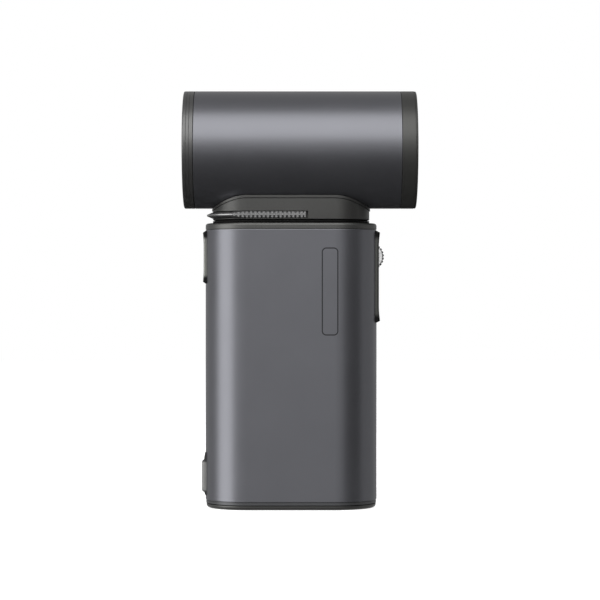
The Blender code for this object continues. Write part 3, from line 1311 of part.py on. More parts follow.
def make_filter(cap):
    """The pull-off intake ring with its grille, filter screen and magnet ring."""
    right = TUBE_LEFT - GAP
    left = HEAD_LEFT
    outer = HEAD_RADIUS
    pocket = ISOLATOR_RADIUS - INTAKE_SPIGOT_WALL
    shelf = left + INTAKE_LIP
    spigot = right + SPIGOT_LENGTH
    profile = [
        (left, INTAKE_MOUTH_RADIUS + RING_EDGE),
        (left, outer - RING_EDGE),
        (left + RING_EDGE, outer),
        (right - SEAM_EDGE, outer),
        (right, outer - SEAM_EDGE),
        (right, ISOLATOR_RADIUS),
        (spigot, ISOLATOR_RADIUS),
        (spigot, pocket),
        (shelf, pocket),
        (shelf, INTAKE_MOUTH_RADIUS),
        (left + RING_EDGE, INTAKE_MOUTH_RADIUS),
    ]
    add_piece("intake_ring", turned_x(profile, FINE), "dark_plastic", cap)
    fit = pocket - GAP
    low = shelf + GAP
    high = low + GRILLE_THICKNESS
    rim = ring(low, high, fit - 1.6 * MM, fit)
    grille = add_piece("intake_grille", turned_x(rim, MEDIUM), "dark_plastic", cap)
    spokes = bmesh.new()
    for step in range(GRILLE_SPOKES):
        spoke = box(low + 0.1 * MM, high - 0.1 * MM, -0.5 * MM, 0.5 * MM, 2.4 * MM, fit - 0.8 * MM)
        turn = Matrix.Rotation(2 * math.pi * (step + 0.5) / GRILLE_SPOKES, 3, "X")
        bmesh.ops.rotate(spoke, cent=(0, 0, 0), matrix=turn, verts=spoke.verts)
        copy_into(spokes, spoke)
    join(grille, "grille_spokes", spokes)
    join(grille, "grille_hub", turned_x(disc(low, high, 3.2 * MM), 16))
    pitch = (fit - 1.6 * MM - 3.2 * MM) / (GRILLE_RINGS + 1)
    for step in range(GRILLE_RINGS):
        inner = 3.2 * MM + pitch * (step + 1) - GRILLE_RING_WIDTH / 2
        band = ring(low, high, inner, inner + GRILLE_RING_WIDTH)
        join(grille, f"grille_ring_{step + 1}", turned_x(band, MEDIUM))
    screen_low = high + GAP
    screen_high = screen_low + FILTER_THICKNESS
    sheet = turned_x(disc(screen_low, screen_high, fit), MEDIUM)
    screen = add_piece("filter_screen", sheet, "filter_cloth", cap)
    cut(screen, "screen_holes", screen_holes(screen_low, screen_high, fit - 2 * MM))
    magnet_low = screen_high + GAP
    magnet_high = magnet_low + MAGNET_RING_THICKNESS
    magnets = turned_x(ring(magnet_low, magnet_high, fit - 1.6 * MM, fit), MEDIUM)
    add_piece("magnet_ring", magnets, "magnet", cap)


def screen_holes(low, high, reach):
    holes = bmesh.new()
    row_step = FILTER_HOLE_PITCH * math.sqrt(3) / 2
    rows = int(reach / row_step)
    for row in range(-rows, rows + 1):
        offset = FILTER_HOLE_PITCH / 2 if row % 2 else 0
        columns = int(reach / FILTER_HOLE_PITCH) + 1
        for column in range(-columns, columns + 1):
            y = column * FILTER_HOLE_PITCH + offset
            z = row * row_step
            if math.hypot(y, z) > reach - FILTER_HOLE_RADIUS:
                continue
            hole = turned(bmesh.new(), disc(low - MM, high + MM, FILTER_HOLE_RADIUS), 6, ALONG_X)
            bmesh.ops.translate(hole, vec=(0, y, z), verts=hole.verts)
            copy_into(holes, hole)
    return holes


def make_leads(body, head):
    """The head's lead runs down the swivel axis and meets the handle's lead end to end."""
    low = in_head(LEAD_JOINT_Z + GAP)
    high = -MOTOR_FIT_RADIUS + 3 * MM
    add_piece("head_lead", rod(0, 0, low, high, LEAD_RADIUS, 12), "lead_sheath", head)
    curve = bpy.data.curves.new("handle_lead", "CURVE")
    curve.dimensions = "3D"
    curve.bevel_depth = LEAD_RADIUS
    curve.bevel_resolution = 2
    curve.use_fill_caps = True
    spline = curve.splines.new("POLY")
    socket_top = BOARD_BOTTOM + 1.2 * MM + 3 * MM
    reach = 7.5 * MM
    path = [(0, LEAD_JOINT_Z), (0, LEAD_JOINT_Z - 0.6 * MM)]
    bend = reach / 2
    steps = 6
    for step in range(1, steps + 1):
        angle = math.radians(90 * step / steps)
        path.append((bend * (1 - math.cos(angle)), LEAD_JOINT_Z - 0.6 * MM - bend * math.sin(angle) * 0.55))
    drop = path[-1][1]
    for step in range(1, steps + 1):
        angle = math.radians(90 * step / steps)
        path.append((bend + bend * math.sin(angle), drop - bend * (1 - math.cos(angle)) * 0.3))
    path.append((reach, socket_top + GAP))
    spline.points.add(len(path) - 1)
    for point, (x, z) in zip(spline.points, path):
        point.co = (x, 0, z, 1)
    curve.materials.append(make_material("lead_sheath"))
    obj = bpy.data.objects.new("handle_lead", curve)
    bpy.context.scene.collection.objects.link(obj)
    obj.parent = body


def build():
    clear_scene()
    body = make_axis("handle_body", (0, 0, 0))
    head = make_axis("head_axis", (0, 0, HEAD_AXIS_Z), body)
    fan = make_axis("fan_axis", (0, 0, 0), head)
    cap = make_axis("filter_axis", (0, 0, 0), head)
    release = make_axis("release_axis", (0, 0, in_head(RELEASE_Z)), head)
    dial_axis = make_axis("dial_axis", (DIAL_X, 0, DIAL_Z), body)
    button_axis = make_axis("button_axis", (-HANDLE_HALF_X, 0, BUTTON_Z), body)
    cover_axis = make_axis("cover_axis", (-HANDLE_HALF_X + 0.1 * MM, 0, COVER_HINGE_Z), body)
    make_sleeve(body)
    make_chassis(body)
    make_caps(body)
    make_battery(body)
    make_boards(body)
    make_control_panel(body)
    make_speed_dial(dial_axis)
    make_power_button(body, button_axis)
    make_port(body)
    make_port_cover(cover_axis)
    make_swivel(body)
    make_neck(head)
    make_release_slider(release)
    make_release_spring(head)
    make_tube(head)
    make_duct(head)
    make_outlet_ring(head)
    make_stator(head)
    make_motor(head, fan)
    make_impeller(fan)
    make_tail_cone(head)
    make_filter(cap)
    make_leads(body, head)


build()
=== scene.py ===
"""Render scene of the hand-held turbo air pump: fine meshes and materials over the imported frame."""

import json
import math

import bmesh
import bpy
from mathutils import Matrix, Vector


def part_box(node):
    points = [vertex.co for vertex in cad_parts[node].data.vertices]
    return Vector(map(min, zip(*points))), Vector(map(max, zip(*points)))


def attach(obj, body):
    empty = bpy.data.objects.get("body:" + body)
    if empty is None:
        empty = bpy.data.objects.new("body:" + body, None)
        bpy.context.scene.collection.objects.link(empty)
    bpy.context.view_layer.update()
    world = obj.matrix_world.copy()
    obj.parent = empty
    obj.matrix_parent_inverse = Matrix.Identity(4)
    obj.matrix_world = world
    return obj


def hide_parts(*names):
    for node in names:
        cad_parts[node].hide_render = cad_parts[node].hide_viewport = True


MM = 0.001
GAP = 0.3 * MM
ROUND = 160
CORNER_STEPS = 24
SHARP_ANGLE = math.radians(32)

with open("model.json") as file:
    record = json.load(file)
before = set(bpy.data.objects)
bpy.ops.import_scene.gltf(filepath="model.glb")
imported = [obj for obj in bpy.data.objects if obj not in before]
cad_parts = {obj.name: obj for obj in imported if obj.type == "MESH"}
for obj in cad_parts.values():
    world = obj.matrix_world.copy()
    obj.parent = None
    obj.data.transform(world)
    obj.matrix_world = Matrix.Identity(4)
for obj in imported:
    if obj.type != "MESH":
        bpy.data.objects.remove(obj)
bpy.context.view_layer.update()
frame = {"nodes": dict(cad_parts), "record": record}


# --- sizes read from the frame -------------------------------------------------------------

SLEEVE_LOW, SLEEVE_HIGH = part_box("body_sleeve")
HALF_X = SLEEVE_HIGH.x
HALF_Y = SLEEVE_HIGH.y
SIDE_FLAT = 1.0 * MM
HANDLE_CORNER = HALF_Y - SIDE_FLAT
TUBE_LOW, TUBE_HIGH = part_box("head_tube")
HEAD_Z = (TUBE_LOW.z + TUBE_HIGH.z) / 2
HEAD_RADIUS = TUBE_HIGH.y
NECK_LOW, NECK_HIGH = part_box("neck_housing")
NECK_CORNER_DROP = 0.5 * MM
WALL = 1.3 * MM
EDGE = 0.3 * MM
SPINDLE_BORE = 6.3 * MM
POD_RADIUS = 9.5 * MM
BADGE_X = 13.85 * MM
BADGE_Z = 77.7 * MM
BADGE_HALF_X = 2.95 * MM
BADGE_HALF_Z = 15.6 * MM


# --- mesh helpers ----------------------------------------------------------------------------

def outline(half_x, half_y, radius, steps=CORNER_STEPS):
    """Corner points of a rounded rectangle round the origin, anticlockwise."""
    points = []
    for side_x, side_y, start in ((1, 1, 0), (-1, 1, 90), (-1, -1, 180), (1, -1, 270)):
        for step in range(steps + 1):
            angle = math.radians(start + 90 * step / steps)
            x = side_x * (half_x - radius) + radius * math.cos(angle)
            y = side_y * (half_y - radius) + radius * math.sin(angle)
            points.append((x, y))
    return points


def level(points, z):
    """The same outline, lying flat at a height."""
    return [(x, y, z) for x, y in points]


def handle_level(inset, z):
    """The handle's outline at a height, drawn in by an inset."""
    return level(outline(HALF_X - inset, HALF_Y - inset, HANDLE_CORNER - inset), z)


def neck_level(inset, z):
    """The neck's outline at a height, drawn in by an inset."""
    half_x = NECK_HIGH.x - inset
    half_y = NECK_HIGH.y - inset
    return level(outline(half_x, half_y, half_y - NECK_CORNER_DROP), z)


def skin(loops, closed=False, bm=None):
    """Faces between a stack of outlines. An open stack is capped at both ends."""
    bm = bm or bmesh.new()
    rows = [[bm.verts.new(point) for point in loop] for loop in loops]
    pairs = list(zip(rows, rows[1:]))
    if closed:
        pairs.append((rows[-1], rows[0]))
    for low, high in pairs:
        for i in range(len(low)):
            j = (i + 1) % len(low)
            bm.faces.new((low[i], low[j], high[j], high[i]))
    if not closed:
        bm.faces.new(rows[0])
        bm.faces.new(rows[-1])
    return bm


def block(x0, x1, y0, y1, z0, z1, bm=None):
    """A square-cornered block between two limits on each axis."""
    low = [(x0, y0, z0), (x1, y0, z0), (x1, y1, z0), (x0, y1, z0)]
    return skin([low, [(x, y, z1) for x, y, _ in low]], bm=bm)


ALONG_X = Matrix.Rotation(math.pi / 2, 4, "Y")
ALONG_Y = Matrix.Rotation(-math.pi / 2, 4, "X")


def spun(profile, segments=ROUND, turn=None):
    """Spins a profile of (distance along the axis, radius) points about Z and turns it into place."""
    bm = bmesh.new()
    rows = []
    for along, radius in profile:
        if radius < 1e-9:
            rows.append([bm.verts.new((0, 0, along))])
            continue
        row = []
        for step in range(segments):
            angle = 2 * math.pi * step / segments
            row.append(bm.verts.new((radius * math.cos(angle), radius * math.sin(angle), along)))
        rows.append(row)
    pairs = list(zip(rows, rows[1:]))
    if len(rows[0]) > 1 and len(rows[-1]) > 1:
        pairs.append((rows[-1], rows[0]))
    for low, high in pairs:
        for i in range(segments):
            j = (i + 1) % segments
            corners = (low[i % len(low)], low[j % len(low)], high[j % len(high)], high[i % len(high)])
            unique = list(dict.fromkeys(corners))
            if len(unique) > 2:
                bm.faces.new(unique)
    if turn:
        bmesh.ops.transform(bm, matrix=turn, verts=bm.verts)
    return bm


def pole(low, high, radius):
    """The profile of a straight round solid, to be spun."""
    return [(low, 0), (low, radius), (high, radius), (high, 0)]


def pipe(low, high, inner, outer):
    """The profile of a straight round pipe, to be spun."""
    return [(low, inner), (low, outer), (high, outer), (high, inner)]


def head_spun(profile, segments=ROUND):
    """A spun piece on the head's axis, with its distances along X."""
    return spun(profile, segments, Matrix.Translation((0, 0, HEAD_Z)) @ ALONG_X)


def head_turned(bm, share):
    """The same mesh, turned about the head's axis by a share of a full turn from upright."""
    turn = Matrix.Translation((0, 0, HEAD_Z)) @ Matrix.Rotation(2 * math.pi * share, 4, "X")
    bmesh.ops.transform(bm, matrix=turn, verts=bm.verts)
    return bm


def object_of(name, bm):
    """A smooth-shaded object made from a mesh in progress, which is freed."""
    bmesh.ops.recalc_face_normals(bm, faces=bm.faces)
    mesh = bpy.data.meshes.new(name)
    bm.to_mesh(mesh)
    bm.free()
    mesh.polygons.foreach_set("use_smooth", [True] * len(mesh.polygons))
    mesh.set_sharp_from_angle(angle=SHARP_ANGLE)
    obj = bpy.data.objects.new(name, mesh)
    bpy.context.scene.collection.objects.link(obj)
    return obj


PIECES = []


def even_normals():
    """Keeps the broad faces flat or evenly curved, and turns only their eased edges."""
    for piece in PIECES:
        modifier = piece.modifiers.new("even_normals", "WEIGHTED_NORMAL")
        modifier.keep_sharp = True
        modifier.weight = 100


def add_piece(name, bm, body, slot, material, *nodes):
    """A finished piece that rides on a body and stands for CAD nodes."""
    obj = object_of(name, bm)
    obj.data.materials.append(material)
    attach(obj, body)
    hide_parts(*nodes)
    PIECES.append(obj)
    return obj


def boolean(target, bm, operation="DIFFERENCE"):
    """Applies one Boolean at once and removes its helper."""
    helper = object_of("helper", bm)
    modifier = target.modifiers.new("cut", "BOOLEAN")
    modifier.operation = operation
    modifier.solver = "EXACT"
    modifier.object = helper
    bpy.context.view_layer.update()
    graph = bpy.context.evaluated_depsgraph_get()
    mesh = bpy.data.meshes.new_from_object(target.evaluated_get(graph))
    target.modifiers.clear()
    old = target.data
    name = old.name
    target.data = mesh
    bpy.data.meshes.remove(old)
    mesh.name = name
    bpy.data.objects.remove(helper, do_unlink=True)
    mesh.polygons.foreach_set("use_smooth", [True] * len(mesh.polygons))
    mesh.set_sharp_from_angle(angle=SHARP_ANGLE)


def merge(bm, other):
    """Adds another mesh in progress to this one, and frees it."""
    mesh = bpy.data.meshes.new("merge")
    other.to_mesh(mesh)
    other.free()
    bm.from_mesh(mesh)
    bpy.data.meshes.remove(mesh)


def arc(centre_a, centre_b, radius, start, end, steps=5):
    """Points along an arc of a profile, from one angle to another in degrees."""
    points = []
    for step in range(steps + 1):
        angle = math.radians(start + (end - start) * step / steps)
        points.append((centre_a + radius * math.cos(angle), centre_b + radius * math.sin(angle)))
    return points


# --- materials ------------------------------------------------------------------------------

def maths(tree, operation, first, second):
    """A Math node fed by sockets or plain numbers, and its result."""
    node = tree.nodes.new("ShaderNodeMath")
    node.operation = operation
    for socket, value in zip(node.inputs, (first, second)):
        if isinstance(value, (int, float)):
            socket.default_value = value
        else:
            tree.links.new(value, socket)
    return node.outputs[0]


def new_material(name, colour, metallic, roughness):
    """A material with its uniform values on the shader's own sockets."""
    material = bpy.data.materials.new(name)
    material.use_nodes = True
    shader = material.node_tree.nodes["Principled BSDF"]
    shader.inputs["Base Color"].default_value = (*colour, 1)
    shader.inputs["Metallic"].default_value = metallic
    shader.inputs["Roughness"].default_value = roughness
    return material, material.node_tree, shader


def grained(name, colour, metallic, roughness, grain=0.25, depth=0.02, mottle=0.06, rough_change=0.05):
    """A surface with fine grain of a size in mm, soft mottling of its colour and a varying gloss."""
    material, tree, shader = new_material(name, colour, metallic, roughness)
    nodes, links = tree.nodes, tree.links
    place = nodes.new("ShaderNodeTexCoord")
    fine = nodes.new("ShaderNodeTexNoise")
    fine.inputs["Scale"].default_value = 1000 / grain
    fine.inputs["Detail"].default_value = 3
    links.new(place.outputs["Object"], fine.inputs["Vector"])
    bump = nodes.new("ShaderNodeBump")
    bump.inputs["Strength"].default_value = 0.5
    bump.inputs["Distance"].default_value = depth * MM
    links.new(fine.outputs["Fac"], bump.inputs["Height"])
    links.new(bump.outputs["Normal"], shader.inputs["Normal"])
    broad = nodes.new("ShaderNodeTexNoise")
    broad.inputs["Scale"].default_value = 60
    broad.inputs["Detail"].default_value = 5
    links.new(place.outputs["Object"], broad.inputs["Vector"])
    tint = nodes.new("ShaderNodeMix")
    tint.data_type = "RGBA"
    tint.inputs["A"].default_value = (*(c * (1 - mottle) for c in colour), 1)
    tint.inputs["B"].default_value = (*(c * (1 + mottle) for c in colour), 1)
    links.new(broad.outputs["Fac"], tint.inputs["Factor"])
    links.new(tint.outputs["Result"], shader.inputs["Base Color"])
    gloss = nodes.new("ShaderNodeMapRange")
    gloss.inputs["To Min"].default_value = roughness - rough_change
    gloss.inputs["To Max"].default_value = roughness + rough_change
    links.new(broad.outputs["Fac"], gloss.inputs["Value"])
    links.new(gloss.outputs["Result"], shader.inputs["Roughness"])
    return material


ANODISED = grained("anodised_blue_grey", (0.127, 0.1285, 0.1405), 0.9, 0.37, 0.18, 0.006, 0.03)
CAP_GREY = grained("satin_cap_grey", (0.078, 0.078, 0.0755), 0.85, 0.41, 0.3, 0.01, 0.05)
RING_GREY = grained("satin_ring_grey", (0.092, 0.092, 0.091), 0.85, 0.38, 0.3, 0.008, 0.05)
OUTLET_GREY = grained("satin_outlet_grey", (0.05, 0.05, 0.0475), 0.7, 0.42, 0.3, 0.01, 0.05)
# painted shade for the inside of the scored line on the sleeve
GROOVE_PAINTED_SHADE = grained("groove_painted_shade", (0.02, 0.02, 0.023), 0.3, 0.6, 0.2, 0.01, 0.1)
TRIM_GREY = grained("satin_trim_grey", (0.062, 0.063, 0.066), 0.6, 0.4, 0.3, 0.01, 0.05)
PANEL_BLACK = grained("panel_black", (0.02, 0.02, 0.019), 0.0, 0.3, 0.25, 0.006, 0.08)
MOULDED = grained("moulded_black", (0.016, 0.016, 0.016), 0.0, 0.5, 0.4, 0.02, 0.12)
IMPELLER_GREY = grained("moulded_grey", (0.2, 0.2, 0.21), 0.0, 0.45, 0.4, 0.015, 0.06)
BUTTON_GREY = grained("button_grey", (0.12, 0.122, 0.11), 0.2, 0.4, 0.25, 0.01, 0.06)
BRIGHT = grained("bright_satin_metal", (0.62, 0.62, 0.63), 1.0, 0.26, 0.15, 0.004, 0.03)
DIAL_WHITE = grained("dial_bright_face", (0.86, 0.86, 0.86), 0.5, 0.3, 0.2, 0.004, 0.02)
SLIDER = grained("slider_metal", (0.3, 0.3, 0.3), 0.9, 0.34, 0.2, 0.006, 0.05)
STEEL = grained("plain_steel", (0.46, 0.46, 0.47), 1.0, 0.34, 0.2, 0.006, 0.05)
RUBBER = grained("soft_rubber", (0.028, 0.028, 0.028), 0.0, 0.72, 0.35, 0.03, 0.12)
SCREEN = grained("woven_screen", (0.03, 0.03, 0.032), 0.3, 0.5, 0.2, 0.02, 0.15)
GLASS = grained("smoked_window", (0.012, 0.012, 0.014), 0.0, 0.09, 0.8, 0.002, 0.05, 0.02)
NICKEL = grained("nickel_strip", (0.6, 0.58, 0.53), 1.0, 0.3, 0.3, 0.008, 0.05)
COPPER = grained("enamelled_copper", (0.66, 0.27, 0.12), 0.9, 0.32, 0.5, 0.05, 0.1)
BOARD = grained("solder_mask", (0.02, 0.09, 0.04), 0.0, 0.35, 0.6, 0.02, 0.15)
WRAP = grained("cell_shrink_wrap", (0.05, 0.17, 0.4), 0.0, 0.3, 0.8, 0.01, 0.08)
# right side insert: its tips get painted dark reflection
PANEL_WITH_PAINTED_REFLECTION = grained("panel_painted_dark_reflection", (0.075, 0.076, 0.072), 0.9, 0.34, 0.25, 0.006, 0.06)
# left side insert: its base is twice the right panel's, painted light on the lit left side, and its tips
# get painted dark reflection
FRAME_PAINTED_LIGHT_AND_REFLECTION = grained("frame_painted_light_and_reflection", (0.15, 0.152, 0.143), 0.9, 0.36, 0.25, 0.006, 0.06)
# a real swivel washer, coloured near black as painted shade for the shadow in the gap round it
WASHER_PAINTED_SHADE = grained("washer_painted_shade", (0.008, 0.008, 0.008), 0.9, 0.5, 0.3, 0.01, 0.1)
# the port cover's rubber, later given painted shade at its sloped ends
COVER_WITH_PAINTED_SHADE = grained("cover_rubber", (0.15, 0.15, 0.147), 0.0, 0.5, 0.3, 0.02, 0.06)
MAGNET = grained("plated_magnet", (0.3, 0.3, 0.31), 1.0, 0.28, 0.3, 0.01, 0.06)
ALUMINIUM = grained("turned_aluminium", (0.56, 0.57, 0.58), 1.0, 0.35, 0.2, 0.01, 0.05)


def paint_shade_at_ends(material, low, high, fade, deep):
    """Turns a material nearly black toward the two ends of an upright piece: painted shade and painted dark
    reflection on those ends.
    """
    tree = material.node_tree
    nodes, links = tree.nodes, tree.links
    shader = nodes["Principled BSDF"]
    place = nodes.new("ShaderNodeTexCoord")
    parts = nodes.new("ShaderNodeSeparateXYZ")
    links.new(place.outputs["Object"], parts.inputs[0])
    off = maths(tree, "SUBTRACT", parts.outputs["Z"], (low + high) / 2)
    distance = maths(tree, "ABSOLUTE", off, 0)
    reach = nodes.new("ShaderNodeMapRange")
    reach.interpolation_type = "SMOOTHSTEP"
    reach.inputs["From Min"].default_value = (high - low) / 2 - fade - deep
    reach.inputs["From Max"].default_value = (high - low) / 2 - deep
    links.new(distance, reach.inputs["Value"])
    mix = nodes.new("ShaderNodeMix")
    mix.data_type = "RGBA"
    links.new(reach.outputs["Result"], mix.inputs["Factor"])
    links.new(shader.inputs["Base Color"].links[0].from_socket, mix.inputs["A"])
    # the near-black of the painted shade at the ends
    mix.inputs["B"].default_value = (0.008, 0.008, 0.008, 1)
    links.new(mix.outputs["Result"], shader.inputs["Base Color"])


SLOT_MATERIALS = {
    "anodised_sleeve": ANODISED,
    "anodised_tube": ANODISED,
    "chassis_plastic": MOULDED,
    "cap_plastic": CAP_GREY,
    "trim_plastic": TRIM_GREY,
    "foot_rubber": RUBBER,
    "cell_wrap": WRAP,
    "nickel": NICKEL,
    "circuit_board": BOARD,
    "panel_plastic": PANEL_BLACK,
    "smoked_window": GLASS,
    "steel": STEEL,
    "dial_metal": BRIGHT,
    "button_plastic": BUTTON_GREY,
    "port_shell": STEEL,
    "cover_rubber": COVER_WITH_PAINTED_SHADE,
    "washer_plastic": MOULDED,
    "lead_sheath": RUBBER,
    "duct_plastic": MOULDED,
    "isolator_rubber": RUBBER,
    "ring_plastic": RING_GREY,
    "lamination": STEEL,
    "winding_copper": COPPER,
    "cast_aluminium": ALUMINIUM,
    "impeller_plastic": IMPELLER_GREY,
    "magnet": MAGNET,
    "grille_plastic": MOULDED,
    "filter_cloth": SCREEN,
    "slider_metal": SLIDER,
}


def paint_frame():
    """Gives every CAD node the material of its slot."""
    for row in frame["record"]["subparts"]:
        node = frame["nodes"][row["node"]]
        node.data.materials.clear()
        node.data.materials.append(SLOT_MATERIALS[row["material_slot"]])


# --- the handle -----------------------------------------------------------------------------

def make_sleeve():
    """The anodised sleeve with eased ends, its side cuts and the scored outline on its front."""
    low, high = SLEEVE_LOW.z, SLEEVE_HIGH.z
    loops = [
        handle_level(EDGE, low),
        handle_level(EDGE * 0.3, low + EDGE * 0.3),
        handle_level(0, low + EDGE),
        handle_level(0, high - EDGE),
        handle_level(EDGE * 0.3, high - EDGE * 0.3),
        handle_level(EDGE, high),
        handle_level(WALL, high),
        handle_level(WALL, low),
    ]
    sleeve = add_piece("sleeve", skin(loops, True), "handle", "anodised_sleeve", ANODISED, "body_sleeve")
    panel_low, panel_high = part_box("control_panel")
    frame_low, frame_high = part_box("button_frame")
    cover_low, cover_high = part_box("port_cover")
    side = panel_high.y + GAP
    above = panel_high.z + 0.05 * MM
    boolean(sleeve, block(panel_low.x, HALF_X + 5 * MM, -side, side, panel_low.z - 0.1 * MM, above))
    boolean(sleeve, block(-HALF_X - 5 * MM, frame_high.x, -side, side, frame_low.z - 0.1 * MM, above))
    side = cover_high.y + GAP
    port_low, port_high = cover_low.z - GAP, cover_high.z + GAP
    boolean(sleeve, block(-HALF_X - 5 * MM, cover_high.x, -side, side, port_low, port_high))
    boolean(sleeve, badge_groove())
    # the faces inside the scored line get a near-black colour: painted shade in the groove
    sleeve.data.materials.append(GROOVE_PAINTED_SHADE)
    for face in sleeve.data.polygons:
        beside = abs(face.center.x - BADGE_X) < BADGE_HALF_X + 0.15 * MM
        level_with = abs(face.center.z - BADGE_Z) < BADGE_HALF_Z + 0.4 * MM
        depth = face.center.y - front_y(face.center.x)
        if beside and level_with and 0.03 * MM < depth < 0.3 * MM:
            face.material_index = 1


def front_y(x):
    """The depth of the sleeve's front surface at a distance across it."""
    flat = HALF_X - HANDLE_CORNER
    if abs(x) < flat:
        return -HALF_Y
    return HANDLE_CORNER - HALF_Y - math.sqrt(HANDLE_CORNER ** 2 - (abs(x) - flat) ** 2)


def badge_groove():
    """A thin rounded line scored into the front. Its inside stays bare."""
    corner = 1.6 * MM
    line = 0.42 * MM
    depth = 0.22 * MM
    face = -HALF_Y
    loops = []
    for inset, y in ((0, face - MM), (0, face + depth), (line, face + depth), (line, face - MM)):
        points = outline(BADGE_HALF_X - inset, BADGE_HALF_Z - inset, corner - inset, 8)
        loops.append([(BADGE_X + x, y, BADGE_Z + z) for x, z in points])
    return skin(loops, True)


def make_caps():
    """The top cap, trim ring, bottom cap and foot pad."""
    low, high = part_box("top_cap")
    rim_low = SLEEVE_HIGH.z + 0.2 * MM
    fillet = 0.9 * MM
    levels = [handle_level(0.3 * MM, SLEEVE_HIGH.z + 0.01 * MM), handle_level(0.3 * MM, rim_low)]
    levels += [handle_level(0.04 * MM, rim_low), handle_level(0, rim_low + 0.04 * MM)]
    for inset, z in arc(0, high.z - fillet, fillet, 0, 90, 6):
        levels.append(handle_level(fillet - inset, z))
    cap = add_piece("cap_top", skin(levels), "handle", "cap_plastic", CAP_GREY, "top_cap")
    boolean(cap, spun(pole(low.z, high.z + MM, SPINDLE_BORE), 96))
    low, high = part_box("bottom_trim_ring")
    inset = HALF_X - high.x
    lip = 0.35 * MM
    levels = [
        handle_level(inset, low.z),
        handle_level(inset, high.z),
        handle_level(lip, high.z),
        handle_level(lip, SLEEVE_LOW.z - 0.02 * MM),
        handle_level(WALL, SLEEVE_LOW.z - 0.02 * MM),
        handle_level(WALL, low.z),
    ]
    add_piece("trim_ring", skin(levels, True), "handle", "trim_plastic", TRIM_GREY, "bottom_trim_ring")
    low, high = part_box("bottom_cap")
    inset = HALF_X - high.x
    fillet = 1.3 * MM
    rim_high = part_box("bottom_trim_ring")[0].z - GAP
    levels = []
    for share in range(7):
        angle = math.radians(90 - 15 * share)
        rise = fillet * (1 - math.sin(angle))
        levels.append(handle_level(inset + fillet * (1 - math.cos(angle)), low.z + rise))
    levels.append(handle_level(inset, rim_high))
    cap = add_piece("cap_bottom", skin(levels), "handle", "cap_plastic", CAP_GREY, "bottom_cap")
    pad_low, pad_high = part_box("foot_pad")
    corner = pad_high.y - MM
    seat = outline(pad_high.x + GAP, pad_high.y + GAP, corner + GAP)
    boolean(cap, skin([level(seat, -MM), level(seat, pad_high.z + GAP)]))
    make_foot(pad_low, pad_high, corner)


def make_foot(low, high, corner):
    """The silicone foot, with eased edges and wells for the two screws."""
    edge = 0.15 * MM
    levels = []
    for inset, z in ((edge, low.z), (0, low.z + edge), (0, high.z)):
        levels.append(level(outline(high.x - inset, high.y - inset, corner - inset), z))
    foot = add_piece("foot", skin(levels), "handle", "foot_rubber", RUBBER, "foot_pad")
    for node in ("bottom_screw_left", "bottom_screw_right"):
        screw_low, screw_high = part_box(node)
        x = (screw_low.x + screw_high.x) / 2
        radius = screw_high.x - x + GAP
        profile = [(low.z - MM, 0), (low.z - MM, radius), (high.z + MM, radius), (high.z + MM, 0)]
        boolean(foot, spun(profile, 48, Matrix.Translation((x, 0, 0))))


def insert_level(half_y, inner, outer, z, direction):
    """One level of a side insert, flat inside and round at its two outer corners."""
    edge = 0.7 * MM
    points = [(inner, -half_y)]
    points += arc(outer - edge, -half_y + edge, edge, -90, 0, 7)
    points += arc(outer - edge, half_y - edge, edge, 0, 90, 7)
    points.append((inner, half_y))
    return [(direction * x, y, z) for x, y in points]


def insert_solid(node, face, direction):
    """A side insert whose outer face dips in a smooth curve between two raised tips."""
    low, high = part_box(node)
    outer = max(abs(low.x), abs(high.x))
    inner = min(abs(low.x), abs(high.x))
    reach = 5.5 * MM
    levels = []
    steps = 10
    for side in (0, 1):
        row = []
        edge = low.z if side == 0 else high.z
        sign = 1 if side == 0 else -1
        row.append((edge, HALF_X - 0.15 * MM))
        row.append((edge + sign * 0.62 * MM, outer - 0.12 * MM))
        row.append((edge + sign * 0.8 * MM, outer))
        for step in range(1, steps + 1):
            share = step / steps
            x = face + (outer - face) * (1 - share) ** 2
            row.append((edge + sign * (0.8 * MM + reach * share), x))
        levels += row if side == 0 else row[::-1]
    return skin([insert_level(high.y, inner, x, z, direction) for z, x in levels])


def make_control_panel():
    low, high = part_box("control_panel")
    face = HALF_X + 0.75 * MM
    solid = insert_solid("control_panel", face, 1)
    # painted dark reflection: the panel's curved tips are painted nearly black
    paint_shade_at_ends(PANEL_WITH_PAINTED_REFLECTION, low.z, high.z, 1.8 * MM, 1.8 * MM)
    panel = add_piece("panel", solid, "handle", "panel_plastic", PANEL_WITH_PAINTED_REFLECTION, "control_panel")
    dial_low, dial_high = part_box("speed_dial")
    clear = 0.45 * MM
    middle = (dial_low.z + dial_high.z) / 2
    half = (dial_high.z - dial_low.z) / 2 + clear
    side = dial_high.y + clear
    boolean(panel, block(low.x - MM, high.x + MM, -side, side, middle - half, middle + half))
    glass_low, glass_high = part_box("display_window")
    side = glass_high.y + 0.12 * MM
    well_low, well_high = glass_low.z - 0.12 * MM, glass_high.z + 0.12 * MM
    boolean(panel, block(glass_low.x - 2.6 * MM, high.x + MM, -side, side, well_low, well_high))
    make_window(glass_low, glass_high)


def make_window(low, high):
    """The smoked window with rounded edges."""
    edge = 0.12 * MM
    loops = []
    front = high.x
    for inset, x in ((0, low.x), (0, front - edge), (edge * 0.4, front - edge * 0.3), (edge * 1.2, front)):
        points = outline(high.y - inset, (high.z - low.z) / 2 - inset, 0.6 * MM, 6)
        loops.append([(x, y, (low.z + high.z) / 2 + z) for y, z in points])
    add_piece("window", skin(loops), "handle", "smoked_window", GLASS, "display_window")


